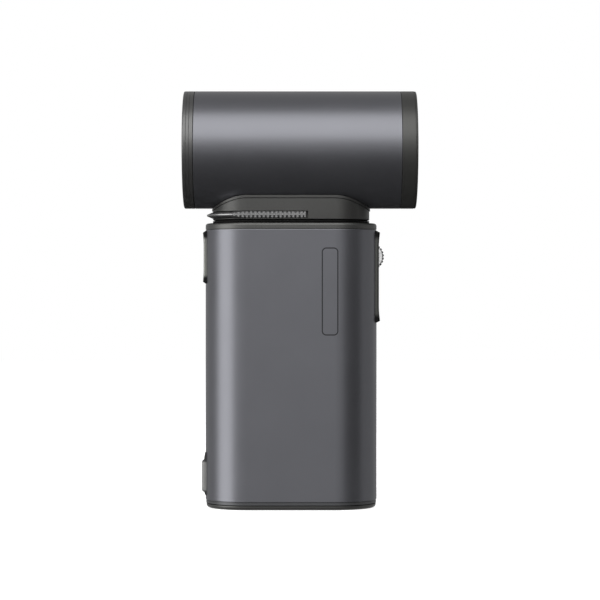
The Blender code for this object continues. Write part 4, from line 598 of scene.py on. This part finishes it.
def make_speed_dial():
    """The thumb wheel: a dark knurled tread between bright dished faces."""
    low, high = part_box("speed_dial")
    centre = Vector(((low.x + high.x) / 2, 0, (low.z + high.z) / 2))
    radius = (high.z - low.z) / 2
    half = high.y
    notches = 26
    turn = Matrix.Translation(centre) @ ALONG_Y
    tread_half = half - 0.25 * MM
    tread = [
        (-tread_half, radius - 0.6 * MM),
        (-tread_half, radius - 0.12 * MM),
        (-tread_half + 0.15 * MM, radius),
        (tread_half - 0.15 * MM, radius),
        (tread_half, radius - 0.12 * MM),
        (tread_half, radius - 0.6 * MM),
    ]
    bm = spun(tread, notches * 6)
    for vert in bm.verts:
        spoke = round(math.atan2(vert.co.y, vert.co.x) / (math.pi / notches / 3)) % 6
        if spoke in (0, 1) and math.hypot(vert.co.x, vert.co.y) > radius - 0.3 * MM:
            vert.co.x *= 1 - 0.36 * MM / radius
            vert.co.y *= 1 - 0.36 * MM / radius
    bmesh.ops.transform(bm, matrix=turn, verts=bm.verts)
    add_piece("dial_tread", bm, "speed_dial", "dial_metal", MOULDED)
    rim = radius - 0.56 * MM
    profile = [
        (-half, rim - 0.25 * MM),
        (-half + 0.12 * MM, rim),
        (half - 0.12 * MM, rim),
        (half, rim - 0.25 * MM),
        (half - 0.06 * MM, rim - 0.9 * MM),
        (half - 0.1 * MM, 1.05 * MM),
        (-half + 0.1 * MM, 1.05 * MM),
        (-half + 0.06 * MM, rim - 0.9 * MM),
    ]
    add_piece("dial_core", spun(profile, 120, turn), "speed_dial", "dial_metal", DIAL_WHITE, "speed_dial")


def make_power_button():
    """The round finger button and the frame that holds it."""
    face = HALF_X + 0.6 * MM
    solid = insert_solid("button_frame", face, -1)
    frame_low, frame_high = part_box("button_frame")
    # painted dark reflection: the frame's curved tips are painted nearly black
    paint_shade_at_ends(FRAME_PAINTED_LIGHT_AND_REFLECTION, frame_low.z, frame_high.z, 1.4 * MM, 2.0 * MM)
    holder = add_piece("button_surround", solid, "handle", "panel_plastic", FRAME_PAINTED_LIGHT_AND_REFLECTION, "button_frame")
    low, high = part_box("power_button")
    middle = Matrix.Translation((0, 0, (low.z + high.z) / 2)) @ ALONG_X
    radius = high.y
    outer = low.x
    boolean(holder, spun(pole(outer - 3 * MM, outer + 3.3 * MM, radius + GAP), 96, middle))
    edge = 0.35 * MM
    crown = outer + 0.12 * MM
    profile = [(outer, 0), (outer + 0.03 * MM, radius * 0.5), (crown, radius - 1.6 * edge)]
    for a in (1.3, 0.9, 0.5, 0.1):
        profile.append((crown + edge * (1 - math.sin(a)), radius - edge + edge * math.cos(a)))
    profile += [(outer + 2.5 * MM, radius), (outer + 2.5 * MM, 1.4 * MM), (high.x, 1.4 * MM), (high.x, 0)]
    button = spun(profile, 96, middle)
    add_piece("button", button, "power_button", "button_plastic", BUTTON_GREY, "power_button")


def make_port_cover():
    """The rubber cover over the charging port: a sloped skirt, a raised pad and an inner lip."""
    low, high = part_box("port_cover")
    hinge_x = -HALF_X + 0.1 * MM
    half = 0.6 * MM
    top = high.z - half
    middle = 11.4 * MM
    edge = 0.3 * MM
    side = high.y
    skirt = -HALF_X - 0.08 * MM
    loops = []
    for inset in (edge, edge * 0.3, 0, 0, edge * 0.3, edge):
        face_x = hinge_x - half + inset * 0.5
        slope = face_x - skirt
        section = [(hinge_x + half, low.z + inset), (hinge_x + half, top + half - inset)]
        section += [(skirt, top + half - inset), (skirt + slope * 0.7, top - 0.9 * MM)]
        section += [(face_x, top - 2.2 * MM), (face_x, low.z + 1.9 * MM)]
        section += [(skirt + slope * 0.6, low.z + 0.9 * MM), (skirt, low.z + inset)]
        loops.append(section)
    reach = (-side, -side + edge * 0.3, -side + edge, side - edge, side - edge * 0.3, side)
    solid = [[(x, y, z) for x, z in loop] for loop, y in zip(loops, reach)]
    # painted shade: the cover's sloped top and bottom ends are painted nearly black
    paint_shade_at_ends(COVER_WITH_PAINTED_SHADE, middle - 6 * MM, middle + 6 * MM, 0.7 * MM, 0.5 * MM)
    cover = add_piece("cover", skin(solid), "port_cover", "cover_rubber", COVER_WITH_PAINTED_SHADE, "port_cover")
    pad_half_z = 5.95 * MM
    face = low.x
    back = hinge_x - half + 0.2 * MM
    pad = []
    rounding = [(0, back), (0.2, back - 0.35 * MM), (0.45, face + 0.22 * MM)]
    rounding += [(0.65, face + 0.05 * MM), (0.9, face)]
    for inset, x in rounding:
        inset *= MM
        points = outline(side - 0.7 * MM - inset, pad_half_z - inset, 1.4 * MM, 8)
        pad.append([(x, y, middle + z) for y, z in points])
    boolean(cover, skin(pad), "UNION")
    lip_z = 11.25 * MM
    lip = outline(1.0 * MM, 3.5 * MM, 0.9 * MM, 8)
    ends = [[(x, y, lip_z + z) for y, z in lip] for x in (hinge_x + half - 0.2 * MM, high.x)]
    boolean(cover, skin(ends), "UNION")


# --- the neck and the slider round it ----------------------------------------------------------

def head_cylinder(radius):
    """A cylinder on the head's axis, longer than the head, to cut with."""
    reach = 80 * MM
    return head_spun(pole(-reach, reach, radius), 256)


def u_outline(side_y, left, inner_y, inner_left, right, steps=36):
    """A U lying on its side and open toward +X: out round the left end, and back inside it."""
    points = [(right, -side_y)]
    points += arc(left + side_y, 0, side_y, 270, 90, steps)
    points += [(right, side_y), (right, inner_y)]
    points += arc(inner_left + inner_y, 0, inner_y, 90, 270, steps)
    points.append((right, -inner_y))
    return points


def make_neck():
    """The neck with its slot, and the thin collar that follows the tube above it."""
    low = NECK_LOW.z
    top = HEAD_Z - HEAD_RADIUS / 3
    levels = [neck_level(EDGE, low), neck_level(EDGE * 0.3, low + EDGE * 0.3)]
    levels += [neck_level(0, low + EDGE), neck_level(0, top)]
    neck = add_piece("neck", skin(levels), "head", "cap_plastic", CAP_GREY, "neck_housing")
    slider_low, slider_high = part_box("release_slider")
    middle = (slider_low.z + slider_high.z) / 2
    half = 1.32 * MM
    inner = slider_high.y - 2.3 * MM
    left = slider_low.x + 3.0 * MM + 0.9 * MM
    right = 6.1 * MM
    slot = u_outline(NECK_HIGH.y + 4 * MM, NECK_LOW.x - 6 * MM, inner, left, right)
    boolean(neck, skin([level(slot, middle - half), level(slot, middle + half)]))
    boolean(neck, spun(pole(low + 1.2 * MM, HEAD_Z, 9.6 * MM), 96))
    boolean(neck, spun(pole(low - MM, low + 2 * MM, SPINDLE_BORE), 96))
    boolean(neck, block(-27 * MM, -9 * MM, -1.8 * MM, 1.8 * MM, middle - half - 0.1 * MM, HEAD_Z))
    boolean(neck, block(-26.6 * MM, -20.3 * MM, 3.7 * MM, 6.3 * MM, middle - half + 0.2 * MM, HEAD_Z))
    boolean(neck, head_cylinder(HEAD_RADIUS + 1.04 * MM))
    wide, narrow = -0.3 * MM, 2.6 * MM
    levels = [neck_level(wide, low), neck_level(wide, top)]
    levels += [neck_level(narrow, top), neck_level(narrow, low)]
    collar = add_piece("collar", skin(levels, True), "head", "cap_plastic", CAP_GREY, "saddle_collar")
    boolean(collar, head_cylinder(HEAD_RADIUS + GAP))
    boolean(collar, head_cylinder(HEAD_RADIUS + 1.0 * MM), "INTERSECT")
    ease = collar.modifiers.new("ease", "BEVEL")
    ease.width = 0.22 * MM
    ease.segments = 2
    ease.limit_method = "ANGLE"
    ease.angle_limit = math.radians(50)


def make_washer():
    """The wide swivel washer that closes the gap between the handle and the neck, coloured near black as
    painted shade for the shadow in that gap.
    """
    low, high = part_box("swivel_washer")
    edge = 0.1 * MM
    levels = [neck_level(edge, low.z), neck_level(0, low.z + edge)]
    levels += [neck_level(0, high.z - edge), neck_level(edge, high.z)]
    washer = add_piece("washer", skin(levels), "handle", "washer_plastic", WASHER_PAINTED_SHADE, "swivel_washer")
    boolean(washer, spun(pole(low.z - MM, high.z + MM, SPINDLE_BORE), 96))


def make_release_slider():
    """The slider: a V edge with a flat crest, notched along both legs, and its latch tongue."""
    low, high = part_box("release_slider")
    middle = (low.z + high.z) / 2
    half = (high.z - low.z) / 2
    apex_y = high.y
    right = 5.2 * MM
    levels = []
    tall = 1.22 * MM
    below = [(-tall, 1.0 * MM), (-0.4 * MM, 0.14 * MM), (-0.22 * MM, 0)]
    for z, inset in below + [(-z, inset) for z, inset in reversed(below)]:
        left = low.x + inset * 2.3
        points = u_outline(apex_y - inset, left, apex_y - 2.0 * MM, low.x + 3.0 * MM, right - 0.2 * inset)
        levels.append(level(points, middle + z))
    slider = add_piece("slider", skin(levels), "release_slider", "slider_metal", SLIDER, "release_slider")
    tongue = block(low.x + 2.2 * MM, -10.2 * MM, -1.4 * MM, 1.4 * MM, middle - 0.7 * MM, middle + 0.7 * MM)
    boolean(slider, tongue, "UNION")
    make_leg_ends(slider, right, apex_y, middle, tall)
    notches = bmesh.new()
    for side in (-1, 1):
        for step in range(17):
            x = right - 1.4 * MM - step * 1.5 * MM
            near, far = sorted((side * (apex_y - 0.8 * MM), side * (apex_y + MM)))
            low_x, high_x = x - 0.39 * MM, x + 0.39 * MM
            block(low_x, high_x, near, far, middle - half - MM, middle + half + MM, notches)
    boolean(slider, notches)


def make_leg_ends(slider, right, apex_y, middle, tall):
    """The rounded upright lug at the free end of each leg."""
    for side in (-1, 1):
        lug = []
        for y, inset in ((apex_y - 1.2 * MM, 0), (apex_y - 0.35 * MM, 0), (apex_y - 0.1 * MM, 0.2 * MM)):
            points = outline(0.33 * MM - inset * 0.5, tall - 0.05 * MM - inset, 0.15 * MM, 4)
            lug.append([(right - 0.2 * MM + x, side * y, middle + z) for x, z in points])
        boolean(slider, skin(lug), "UNION")


# --- the head ----------------------------------------------------------------------------------

def make_tube():
    """The metal tube, with eased ends and the hole that the wires come up through."""
    left, right = TUBE_LOW.x - 0.2 * MM, TUBE_HIGH.x + 0.05 * MM
    radius = HEAD_RADIUS
    bore = radius - 1.2 * MM
    edge = 0.1 * MM
    profile = [(left, bore), *arc(left + edge, radius - edge, edge, 180, 90, 4)]
    profile += [*arc(right - edge, radius - edge, edge, 90, 0, 4), (right, bore)]
    tube = add_piece("tube", head_spun(profile, 256), "head", "anodised_tube", ANODISED, "head_tube")
    boolean(tube, spun(pole(HEAD_Z - radius - MM, HEAD_Z - bore + MM, 2.2 * MM), 32))


def make_intake_ring():
    """The pull-off ring, with two fine turned lines round it and an eased mouth."""
    low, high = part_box("intake_ring")
    left = low.x
    right = TUBE_LOW.x - GAP - 0.08 * MM
    radius = HEAD_RADIUS
    mouth = 16.6 * MM
    edge = 0.55 * MM
    profile = [(left + 0.5 * MM, mouth), *arc(left + 0.5 * MM, mouth + 0.5 * MM, 0.5 * MM, 270, 180, 4)]
    profile += arc(left + edge, radius - edge, edge, 180, 90, 6)
    for line in (1.35, 2.45):
        x = left + line * MM
        profile += [(x - 0.09 * MM, radius), (x, radius - 0.08 * MM), (x + 0.09 * MM, radius)]
    profile += arc(right - 0.1 * MM, radius - 0.1 * MM, 0.1 * MM, 90, 0, 3)
    pocket = 18.25 * MM
    fit = 19.65 * MM
    profile += [(right, fit), (high.x, fit), (high.x, pocket)]
    profile += [(left + 2 * MM, pocket), (left + 2 * MM, mouth)]
    ring = head_spun(profile, 256)
    add_piece("ring_intake", ring, "filter_cap", "ring_plastic", RING_GREY, "intake_ring")


def make_outlet_ring():
    """The outlet ring, with a thin dark edge at its mouth and a flare into the duct."""
    low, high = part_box("outlet_ring")
    left = TUBE_HIGH.x + 0.15 * MM
    right = high.x
    radius = HEAD_RADIUS
    bore = 17.6 * MM
    edge = 0.5 * MM
    profile = [(low.x, 18.9 * MM), (low.x, 19.65 * MM), (left, 19.65 * MM)]
    profile += arc(left + 0.1 * MM, radius - 0.1 * MM, 0.1 * MM, 180, 90, 3)
    lip = right - 0.75 * MM
    profile += [(lip - 0.12 * MM, radius), (lip, radius - 0.14 * MM), (lip + 0.12 * MM, radius - 0.05 * MM)]
    profile += arc(right - edge, radius - edge - 0.05 * MM, edge, 85, 0, 5)
    profile.append((right, bore + 1.8 * MM))
    flare = 4.0 * MM
    for step in range(1, 9):
        share = step / 8
        profile.append((right - flare * share, bore + 1.8 * MM * (1 - share) ** 2))
    profile += [(left - 0.3 * MM, bore), (left - 0.3 * MM, 18.9 * MM)]
    add_piece("ring_outlet", head_spun(profile, 256), "head", "ring_plastic", OUTLET_GREY, "outlet_ring")


def make_duct():
    """The duct that the fan turns in, with a hole for its wires."""
    low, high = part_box("fan_duct")
    outer = high.y
    bore = outer - MM
    profile = pipe(low.x, high.x, bore, outer)
    duct = add_piece("duct", head_spun(profile, 160), "head", "duct_plastic", MOULDED, "fan_duct")
    boolean(duct, spun(pole(HEAD_Z - 20 * MM, HEAD_Z - 16 * MM, 1.6 * MM), 24))


def make_grille():
    """The round intake guard: a rim, two rings and six spokes round a domed hub."""
    low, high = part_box("intake_grille")
    radius = high.y
    hub = 3.2 * MM
    rim = radius - 1.6 * MM
    spoke_count = 6
    bands = 2
    band_width = 0.9 * MM
    pitch = (rim - hub) / (bands + 1)
    face = low.x
    back = high.x
    grille = add_piece(
        "guard", head_spun(pipe(face, back, rim, radius)),
        "filter_cap", "grille_plastic", MOULDED, "intake_grille",
    )
    spokes = bmesh.new()
    near, far = face + 0.1 * MM, back - 0.1 * MM
    for step in range(spoke_count):
        spoke = block(near, far, -0.5 * MM, 0.5 * MM, hub - 0.8 * MM, rim + 0.8 * MM)
        merge(spokes, head_turned(spoke, (step + 0.5) / spoke_count))
    boolean(grille, spokes, "UNION")
    dome = [(face, 0), (face + 0.05 * MM, hub * 0.5), (face + 0.2 * MM, hub * 0.9)]
    dome += [(face + 0.4 * MM, hub), (back, hub), (back, 0)]
    boolean(grille, head_spun(dome, 64), "UNION")
    for step in range(bands):
        inner = hub + pitch * (step + 1) - band_width / 2
        outer = inner + band_width
        ease = 0.12 * MM
        ring = [(face + ease, inner), (face, inner + ease), (face, outer - ease), (face + ease, outer)]
        ring += [(back, outer), (back, inner)]
        boolean(grille, head_spun(ring, 128), "UNION")


def make_screen():
    """The perforated filter screen: a fine pattern of round holes in a thin disc."""
    low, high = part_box("filter_screen")
    radius = high.y
    reach = radius - 1.8 * MM
    pitch = 1.9 * MM
    hole_radius = 0.62 * MM
    disc = head_spun(pole(low.x, high.x, radius), 96)
    screen = add_piece("screen", disc, "filter_cap", "filter_cloth", SCREEN, "filter_screen")
    holes = bmesh.new()
    row_step = pitch * math.sqrt(3) / 2
    rows = int(reach / row_step)
    for row in range(-rows, rows + 1):
        offset = pitch / 2 if row % 2 else 0
        columns = int(reach / pitch) + 1
        for column in range(-columns, columns + 1):
            y = column * pitch + offset
            z = row * row_step
            if math.hypot(y, z) > reach - hole_radius:
                continue
            ring = []
            for corner in range(8):
                angle = corner * math.pi / 4
                ring.append((y + hole_radius * math.cos(angle), HEAD_Z + z + hole_radius * math.sin(angle)))
            skin([[(x, *point) for point in ring] for x in (low.x - MM, high.x + MM)], bm=holes)
    boolean(screen, holes)


def make_tail_cone():
    """The hollow cone behind the motor, with a spigot that fits into the pod."""
    low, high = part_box("tail_cone")
    pod_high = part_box("stator_housing")[1].x
    base = pod_high + GAP
    length = high.x - base
    outer = []
    for step in range(33):
        share = step / 32
        outer.append((base + length * share, POD_RADIUS * math.sqrt(max(1 - share ** 1.7, 0))))
    spigot = 8.2 * MM
    inside = spigot - 1.2 * MM
    profile = [*outer[::-1], (base, spigot), (low.x, spigot), (low.x, inside)]
    profile += [(base + 1.3 * MM, inside), (base + 6 * MM, 5 * MM), (base + 9 * MM, 0)]
    add_piece("cone", head_spun(profile, 128), "head", "duct_plastic", MOULDED, "tail_cone")


def make_stator():
    """The pod, its ring and curved vanes, at the fineness that shows down the outlet."""
    low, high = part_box("stator_housing")
    front, back = low.x, high.x
    ring_outer = high.y
    ring_inner = ring_outer - 0.7 * MM
    pod_bore = 8.5 * MM
    shaft_hole = 1.6 * MM
    ease = 0.4 * MM
    vane_count = 9
    vane_front, vane_back = -6 * MM, 8 * MM
    profile = [(front, shaft_hole), (front, POD_RADIUS - ease), (front + ease, POD_RADIUS)]
    profile += [(back, POD_RADIUS), (back, pod_bore), (front + MM, pod_bore), (front + MM, shaft_hole)]
    stator = add_piece("stator", head_spun(profile, 128), "head", "duct_plastic", MOULDED, "stator_housing")
    vanes = bmesh.new()
    for step in range(vane_count):
        thick = 4.2 * MM if step == 0 else 1.1 * MM
        lean = 0 if step == 0 else 3.2 * MM
        upper, lower = [], []
        for k in range(17):
            share = k / 16
            x = vane_front + (vane_back - vane_front) * share
            y = lean * (1 - share) ** 2
            half = thick / 2 * (0.3 + 0.7 * math.sin(math.pi * min(max(share, 0.02), 0.98)) ** 0.5)
            upper.append((x, y + half))
            lower.append((x, y - half))
        section = lower + upper[::-1]
        vane = skin([level(section, -ring_inner - 0.3 * MM), level(section, -POD_RADIUS + ease)])
        merge(vanes, head_turned(vane, step / vane_count))
    boolean(stator, vanes, "UNION")
    ring = pipe(vane_front - MM, vane_back + MM, ring_inner, ring_outer)
    boolean(stator, head_spun(ring, 128), "UNION")
    boolean(stator, spun(pole(HEAD_Z - 20 * MM, HEAD_Z - 7.5 * MM, 1.4 * MM), 24))


def make_impeller():
    """The hub with its rounded nose and eleven twisted blades."""
    hub_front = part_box("impeller")[0].x
    hub_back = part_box("stator_housing")[0].x - 0.6 * MM
    length = hub_back - hub_front
    radius = 8.5 * MM
    tip = 17.2 * MM
    shaft_hole = 1.3 * MM
    blade_count = 11
    nose = []
    for step in range(17):
        angle = math.radians(90 * step / 16)
        nose.append((hub_front + 0.6 * length * (1 - math.cos(angle)), radius * math.sin(angle)))
    profile = [*nose, (hub_back, radius), (hub_back, shaft_hole)]
    profile += [(hub_front + 3 * MM, shaft_hole), (hub_front + 3 * MM, 0)]
    solid = head_spun(profile, 128)
    hub = add_piece("fan", solid, "fan_rotor", "impeller_plastic", IMPELLER_GREY, "impeller")
    blades = bmesh.new()
    for step in range(blade_count):
        blade = blade_solid(hub_back - 0.36 * length, radius - 1.5 * MM, tip)
        merge(blades, head_turned(blade, step / blade_count))
    boolean(hub, blades, "UNION")


def blade_solid(middle, root, tip):
    """One blade pointing up, steep at its root and flat at its tip."""
    loops = []
    levels = 12
    stations = 11
    for index in range(levels + 1):
        share = index / levels
        radius = root + (tip - root) * share
        pitch = math.radians(38 + 22 * share)
        chord = (6.6 + 1.8 * share) * MM
        sides = []
        for side in (-1, 1):
            row = []
            for k in range(stations):
                station = -1 + 2 * k / (stations - 1)
                width = 0.25 + 0.75 * math.sqrt(max(1 - station * station, 0))
                along = station * chord / 2
                off = 0.09 * chord * (1 - station * station) + side * width * 0.45 * MM
                x = middle + along * math.cos(pitch) + off * math.sin(pitch)
                y = along * math.sin(pitch) - off * math.cos(pitch)
                row.append((x, y, math.sqrt(max(radius * radius - y * y, 0))))
            sides.append(row)
        loops.append(sides[0] + sides[1][::-1])
    return skin(loops)


# --- stage, light and camera --------------------------------------------------------------------

AMBIENT = 0.22
LIGHT_TARGET = Vector((0, 0, 80 * MM))
VIEW_CENTRE_X = 3.2 * MM
VIEW_CENTRE_Z = 74.7 * MM
VIEW_DISTANCE = 840 * MM


def stage_material(name):
    """A material with nothing but its output, for the floor and the cards."""
    material = bpy.data.materials.new(name)
    material.use_nodes = True
    tree = material.node_tree
    tree.nodes.clear()
    output = tree.nodes.new("ShaderNodeOutputMaterial")
    return material, tree, output.inputs["Surface"]


def studio_walls(tree):
    """The brightness that glossy surfaces see round them: pale walls, darker below in front."""
    nodes, links = tree.nodes, tree.links
    place = nodes.new("ShaderNodeTexCoord")
    parts = nodes.new("ShaderNodeSeparateXYZ")
    links.new(place.outputs["Generated"], parts.inputs[0])
    height = nodes.new("ShaderNodeMapRange")
    height.inputs["From Min"].default_value = -1
    links.new(parts.outputs["Z"], height.inputs["Value"])
    ramp = nodes.new("ShaderNodeValToRGB")
    stops = [(0, 0.2), (0.2, 0.36), (0.35, 0.62), (0.45, 0.78)]
    stops += [(0.5, 0.8), (0.6, 0.84), (0.8, 0.75), (1, 0.6)]
    ramp.color_ramp.elements[0].position = 0
    ramp.color_ramp.elements[1].position = 1
    for position, _ in stops[1:-1]:
        ramp.color_ramp.elements.new(position)
    for element, (_, grey) in zip(ramp.color_ramp.elements, stops):
        element.color = (grey, grey, grey, 1)
    links.new(height.outputs["Result"], ramp.inputs["Fac"])
    behind = nodes.new("ShaderNodeMapRange")
    behind.interpolation_type = "SMOOTHSTEP"
    behind.inputs["From Min"].default_value = -0.4
    behind.inputs["From Max"].default_value = 0.25
    links.new(parts.outputs["Y"], behind.inputs["Value"])
    blend = nodes.new("ShaderNodeMix")
    links.new(behind.outputs["Result"], blend.inputs["Factor"])
    links.new(ramp.outputs["Color"], blend.inputs["A"])
    blend.inputs["B"].default_value = 0.5
    return blend.outputs["Result"]


def make_world():
    """White to the camera and through glass, the studio walls to glossy rays, and a soft grey light."""
    world = bpy.data.worlds.new("studio")
    bpy.context.scene.world = world
    world.use_nodes = True
    tree = world.node_tree
    background = tree.nodes["Background"]
    background.inputs["Color"].default_value = (1, 1, 1, 1)
    path = tree.nodes.new("ShaderNodeLightPath")
    white = maths(tree, "MAXIMUM", path.outputs["Is Camera Ray"], path.outputs["Is Transmission Ray"])
    glossy = maths(tree, "MULTIPLY", studio_walls(tree), path.outputs["Is Glossy Ray"])
    seen = maths(tree, "MAXIMUM", white, glossy)
    strength = maths(tree, "MAXIMUM", seen, AMBIENT)
    tree.links.new(strength, background.inputs["Strength"])


def make_floor():
    """A pale floor that keeps the shadow of the object, and is clear when seen from below."""
    material, tree, surface = stage_material("floor_white")
    add = tree.nodes.new("ShaderNodeAddShader")
    diffuse = tree.nodes.new("ShaderNodeBsdfDiffuse")
    diffuse.inputs["Color"].default_value = (0.85, 0.85, 0.85, 1)
    glow = tree.nodes.new("ShaderNodeEmission")
    glow.inputs["Color"].default_value = (0.79, 0.79, 0.79, 1)
    path = tree.nodes.new("ShaderNodeLightPath")
    tree.links.new(path.outputs["Is Camera Ray"], glow.inputs["Strength"])
    tree.links.new(diffuse.outputs[0], add.inputs[0])
    tree.links.new(glow.outputs[0], add.inputs[1])
    sided = tree.nodes.new("ShaderNodeMixShader")
    geometry = tree.nodes.new("ShaderNodeNewGeometry")
    clear = tree.nodes.new("ShaderNodeBsdfTransparent")
    tree.links.new(geometry.outputs["Backfacing"], sided.inputs[0])
    tree.links.new(add.outputs[0], sided.inputs[1])
    tree.links.new(clear.outputs[0], sided.inputs[2])
    tree.links.new(sided.outputs[0], surface)
    reach = 2.0
    sheet = bmesh.new()
    corners = ((-reach, -reach), (reach, -reach), (reach, reach), (-reach, reach))
    sheet.faces.new([sheet.verts.new((x, y, 0)) for x, y in corners])
    floor = object_of("floor", sheet)
    floor.data.materials.append(material)
    floor.visible_glossy = False
    floor.visible_shadow = False


def direction(azimuth, elevation):
    """A unit vector from the object toward a light. Azimuth 0 is toward the viewer, positive to +X."""
    a, e = math.radians(azimuth), math.radians(elevation)
    return Vector((math.sin(a) * math.cos(e), -math.cos(a) * math.cos(e), math.sin(e)))


def soft_box(name, azimuth, elevation, distance, width, height, radiance):
    """A rectangular lamp aimed at the middle of the object, with a given brightness of its face."""
    lamp = bpy.data.lights.new(name, "AREA")
    lamp.shape = "RECTANGLE"
    lamp.size = width
    lamp.size_y = height
    lamp.energy = radiance * math.pi * width * height
    obj = bpy.data.objects.new(name, lamp)
    bpy.context.scene.collection.objects.link(obj)
    toward = direction(azimuth, elevation)
    obj.location = LIGHT_TARGET + toward * distance
    obj.rotation_euler = toward.to_track_quat("Z", "Y").to_euler()
    obj.visible_camera = False
    return obj


def dark_card(name, azimuth, elevation, distance, width, height, grey):
    """A card seen only in reflections, which darkens one side of the glossy surfaces."""
    half_w, half_h = width / 2, height / 2
    corners = [(-half_w, -half_h), (half_w, -half_h), (half_w, half_h), (-half_w, half_h)]
    card = object_of(name, skin([[(x, y, z) for x, y in corners] for z in (0, 0.002)]))
    material, tree, surface = stage_material(name)
    glow = tree.nodes.new("ShaderNodeEmission")
    glow.inputs["Color"].default_value = (grey, grey, grey, 1)
    tree.links.new(glow.outputs[0], surface)
    card.data.materials.append(material)
    toward = direction(azimuth, elevation)
    card.location = LIGHT_TARGET + toward * distance
    card.rotation_euler = toward.to_track_quat("Z", "Y").to_euler()
    hide_from_view(card)


def shade_below_head():
    """A shelf in front of the neck, seen only in reflections, that darkens the tube's underside."""
    width, near, far, z = 0.5, 0.02, -0.62, 0.1026
    bm = bmesh.new()
    corners = ((-width, far), (width, far), (width, near), (-width, near))
    bm.faces.new([bm.verts.new((x, y, z)) for x, y in corners])
    shelf = bpy.data.objects.new("shelf_low", bpy.data.meshes.new("shelf_low"))
    bm.to_mesh(shelf.data)
    bm.free()
    bpy.context.scene.collection.objects.link(shelf)
    material, tree, surface = stage_material("shelf_low")
    nodes, links = tree.nodes, tree.links
    place = nodes.new("ShaderNodeNewGeometry")
    parts = nodes.new("ShaderNodeSeparateXYZ")
    links.new(place.outputs["Position"], parts.inputs[0])
    reach = nodes.new("ShaderNodeMapRange")
    reach.inputs["From Min"].default_value = near
    reach.inputs["From Max"].default_value = far
    reach.inputs["To Min"].default_value = 0.02
    reach.inputs["To Max"].default_value = 0.8
    links.new(parts.outputs["Y"], reach.inputs["Value"])
    glow = nodes.new("ShaderNodeEmission")
    links.new(reach.outputs["Result"], glow.inputs["Strength"])
    clear = nodes.new("ShaderNodeBsdfTransparent")
    mix = nodes.new("ShaderNodeMixShader")
    links.new(place.outputs["Backfacing"], mix.inputs["Fac"])
    links.new(glow.outputs[0], mix.inputs[1])
    links.new(clear.outputs[0], mix.inputs[2])
    links.new(mix.outputs[0], surface)
    shelf.data.materials.append(material)
    hide_from_view(shelf)


def hide_from_view(obj):
    """Leaves a staged object in reflections only."""
    obj.visible_camera = False
    obj.visible_diffuse = False
    obj.visible_shadow = False
    obj.visible_transmission = False


def make_lights():
    """A large lamp above, one at the left, and two dark shapes for the reflections."""
    soft_box("key_above", 0, 45.5, 1.1, 1.6, 1.06, 2.65)
    soft_box("side_left", -64, 4, 1.1, 0.9, 1.6, 2.7)
    dark_card("card_right", 52, 0, 0.9, 0.85, 1.8, 0.12)
    shade_below_head()


def make_camera():
    """Level with the middle of the object, straight in front, with a long lens."""
    camera = bpy.data.cameras.new("camera")
    camera.sensor_width = 36
    camera.lens = 139.6
    camera.clip_start = 0.05
    camera.clip_end = 20
    obj = bpy.data.objects.new("camera", camera)
    bpy.context.scene.collection.objects.link(obj)
    obj.location = (VIEW_CENTRE_X, -VIEW_DISTANCE, VIEW_CENTRE_Z)
    obj.rotation_euler = (math.radians(90), 0, 0)
    bpy.context.scene.camera = obj


bpy.context.scene.view_settings.view_transform = "Standard"
paint_frame()
make_sleeve()
make_caps()
make_control_panel()
make_speed_dial()
make_power_button()
make_port_cover()
make_neck()
make_washer()
make_release_slider()
make_tube()
make_intake_ring()
make_outlet_ring()
make_duct()
make_grille()
make_screen()
make_tail_cone()
make_stator()
make_impeller()
even_normals()
make_world()
make_floor()
make_lights()
make_camera()
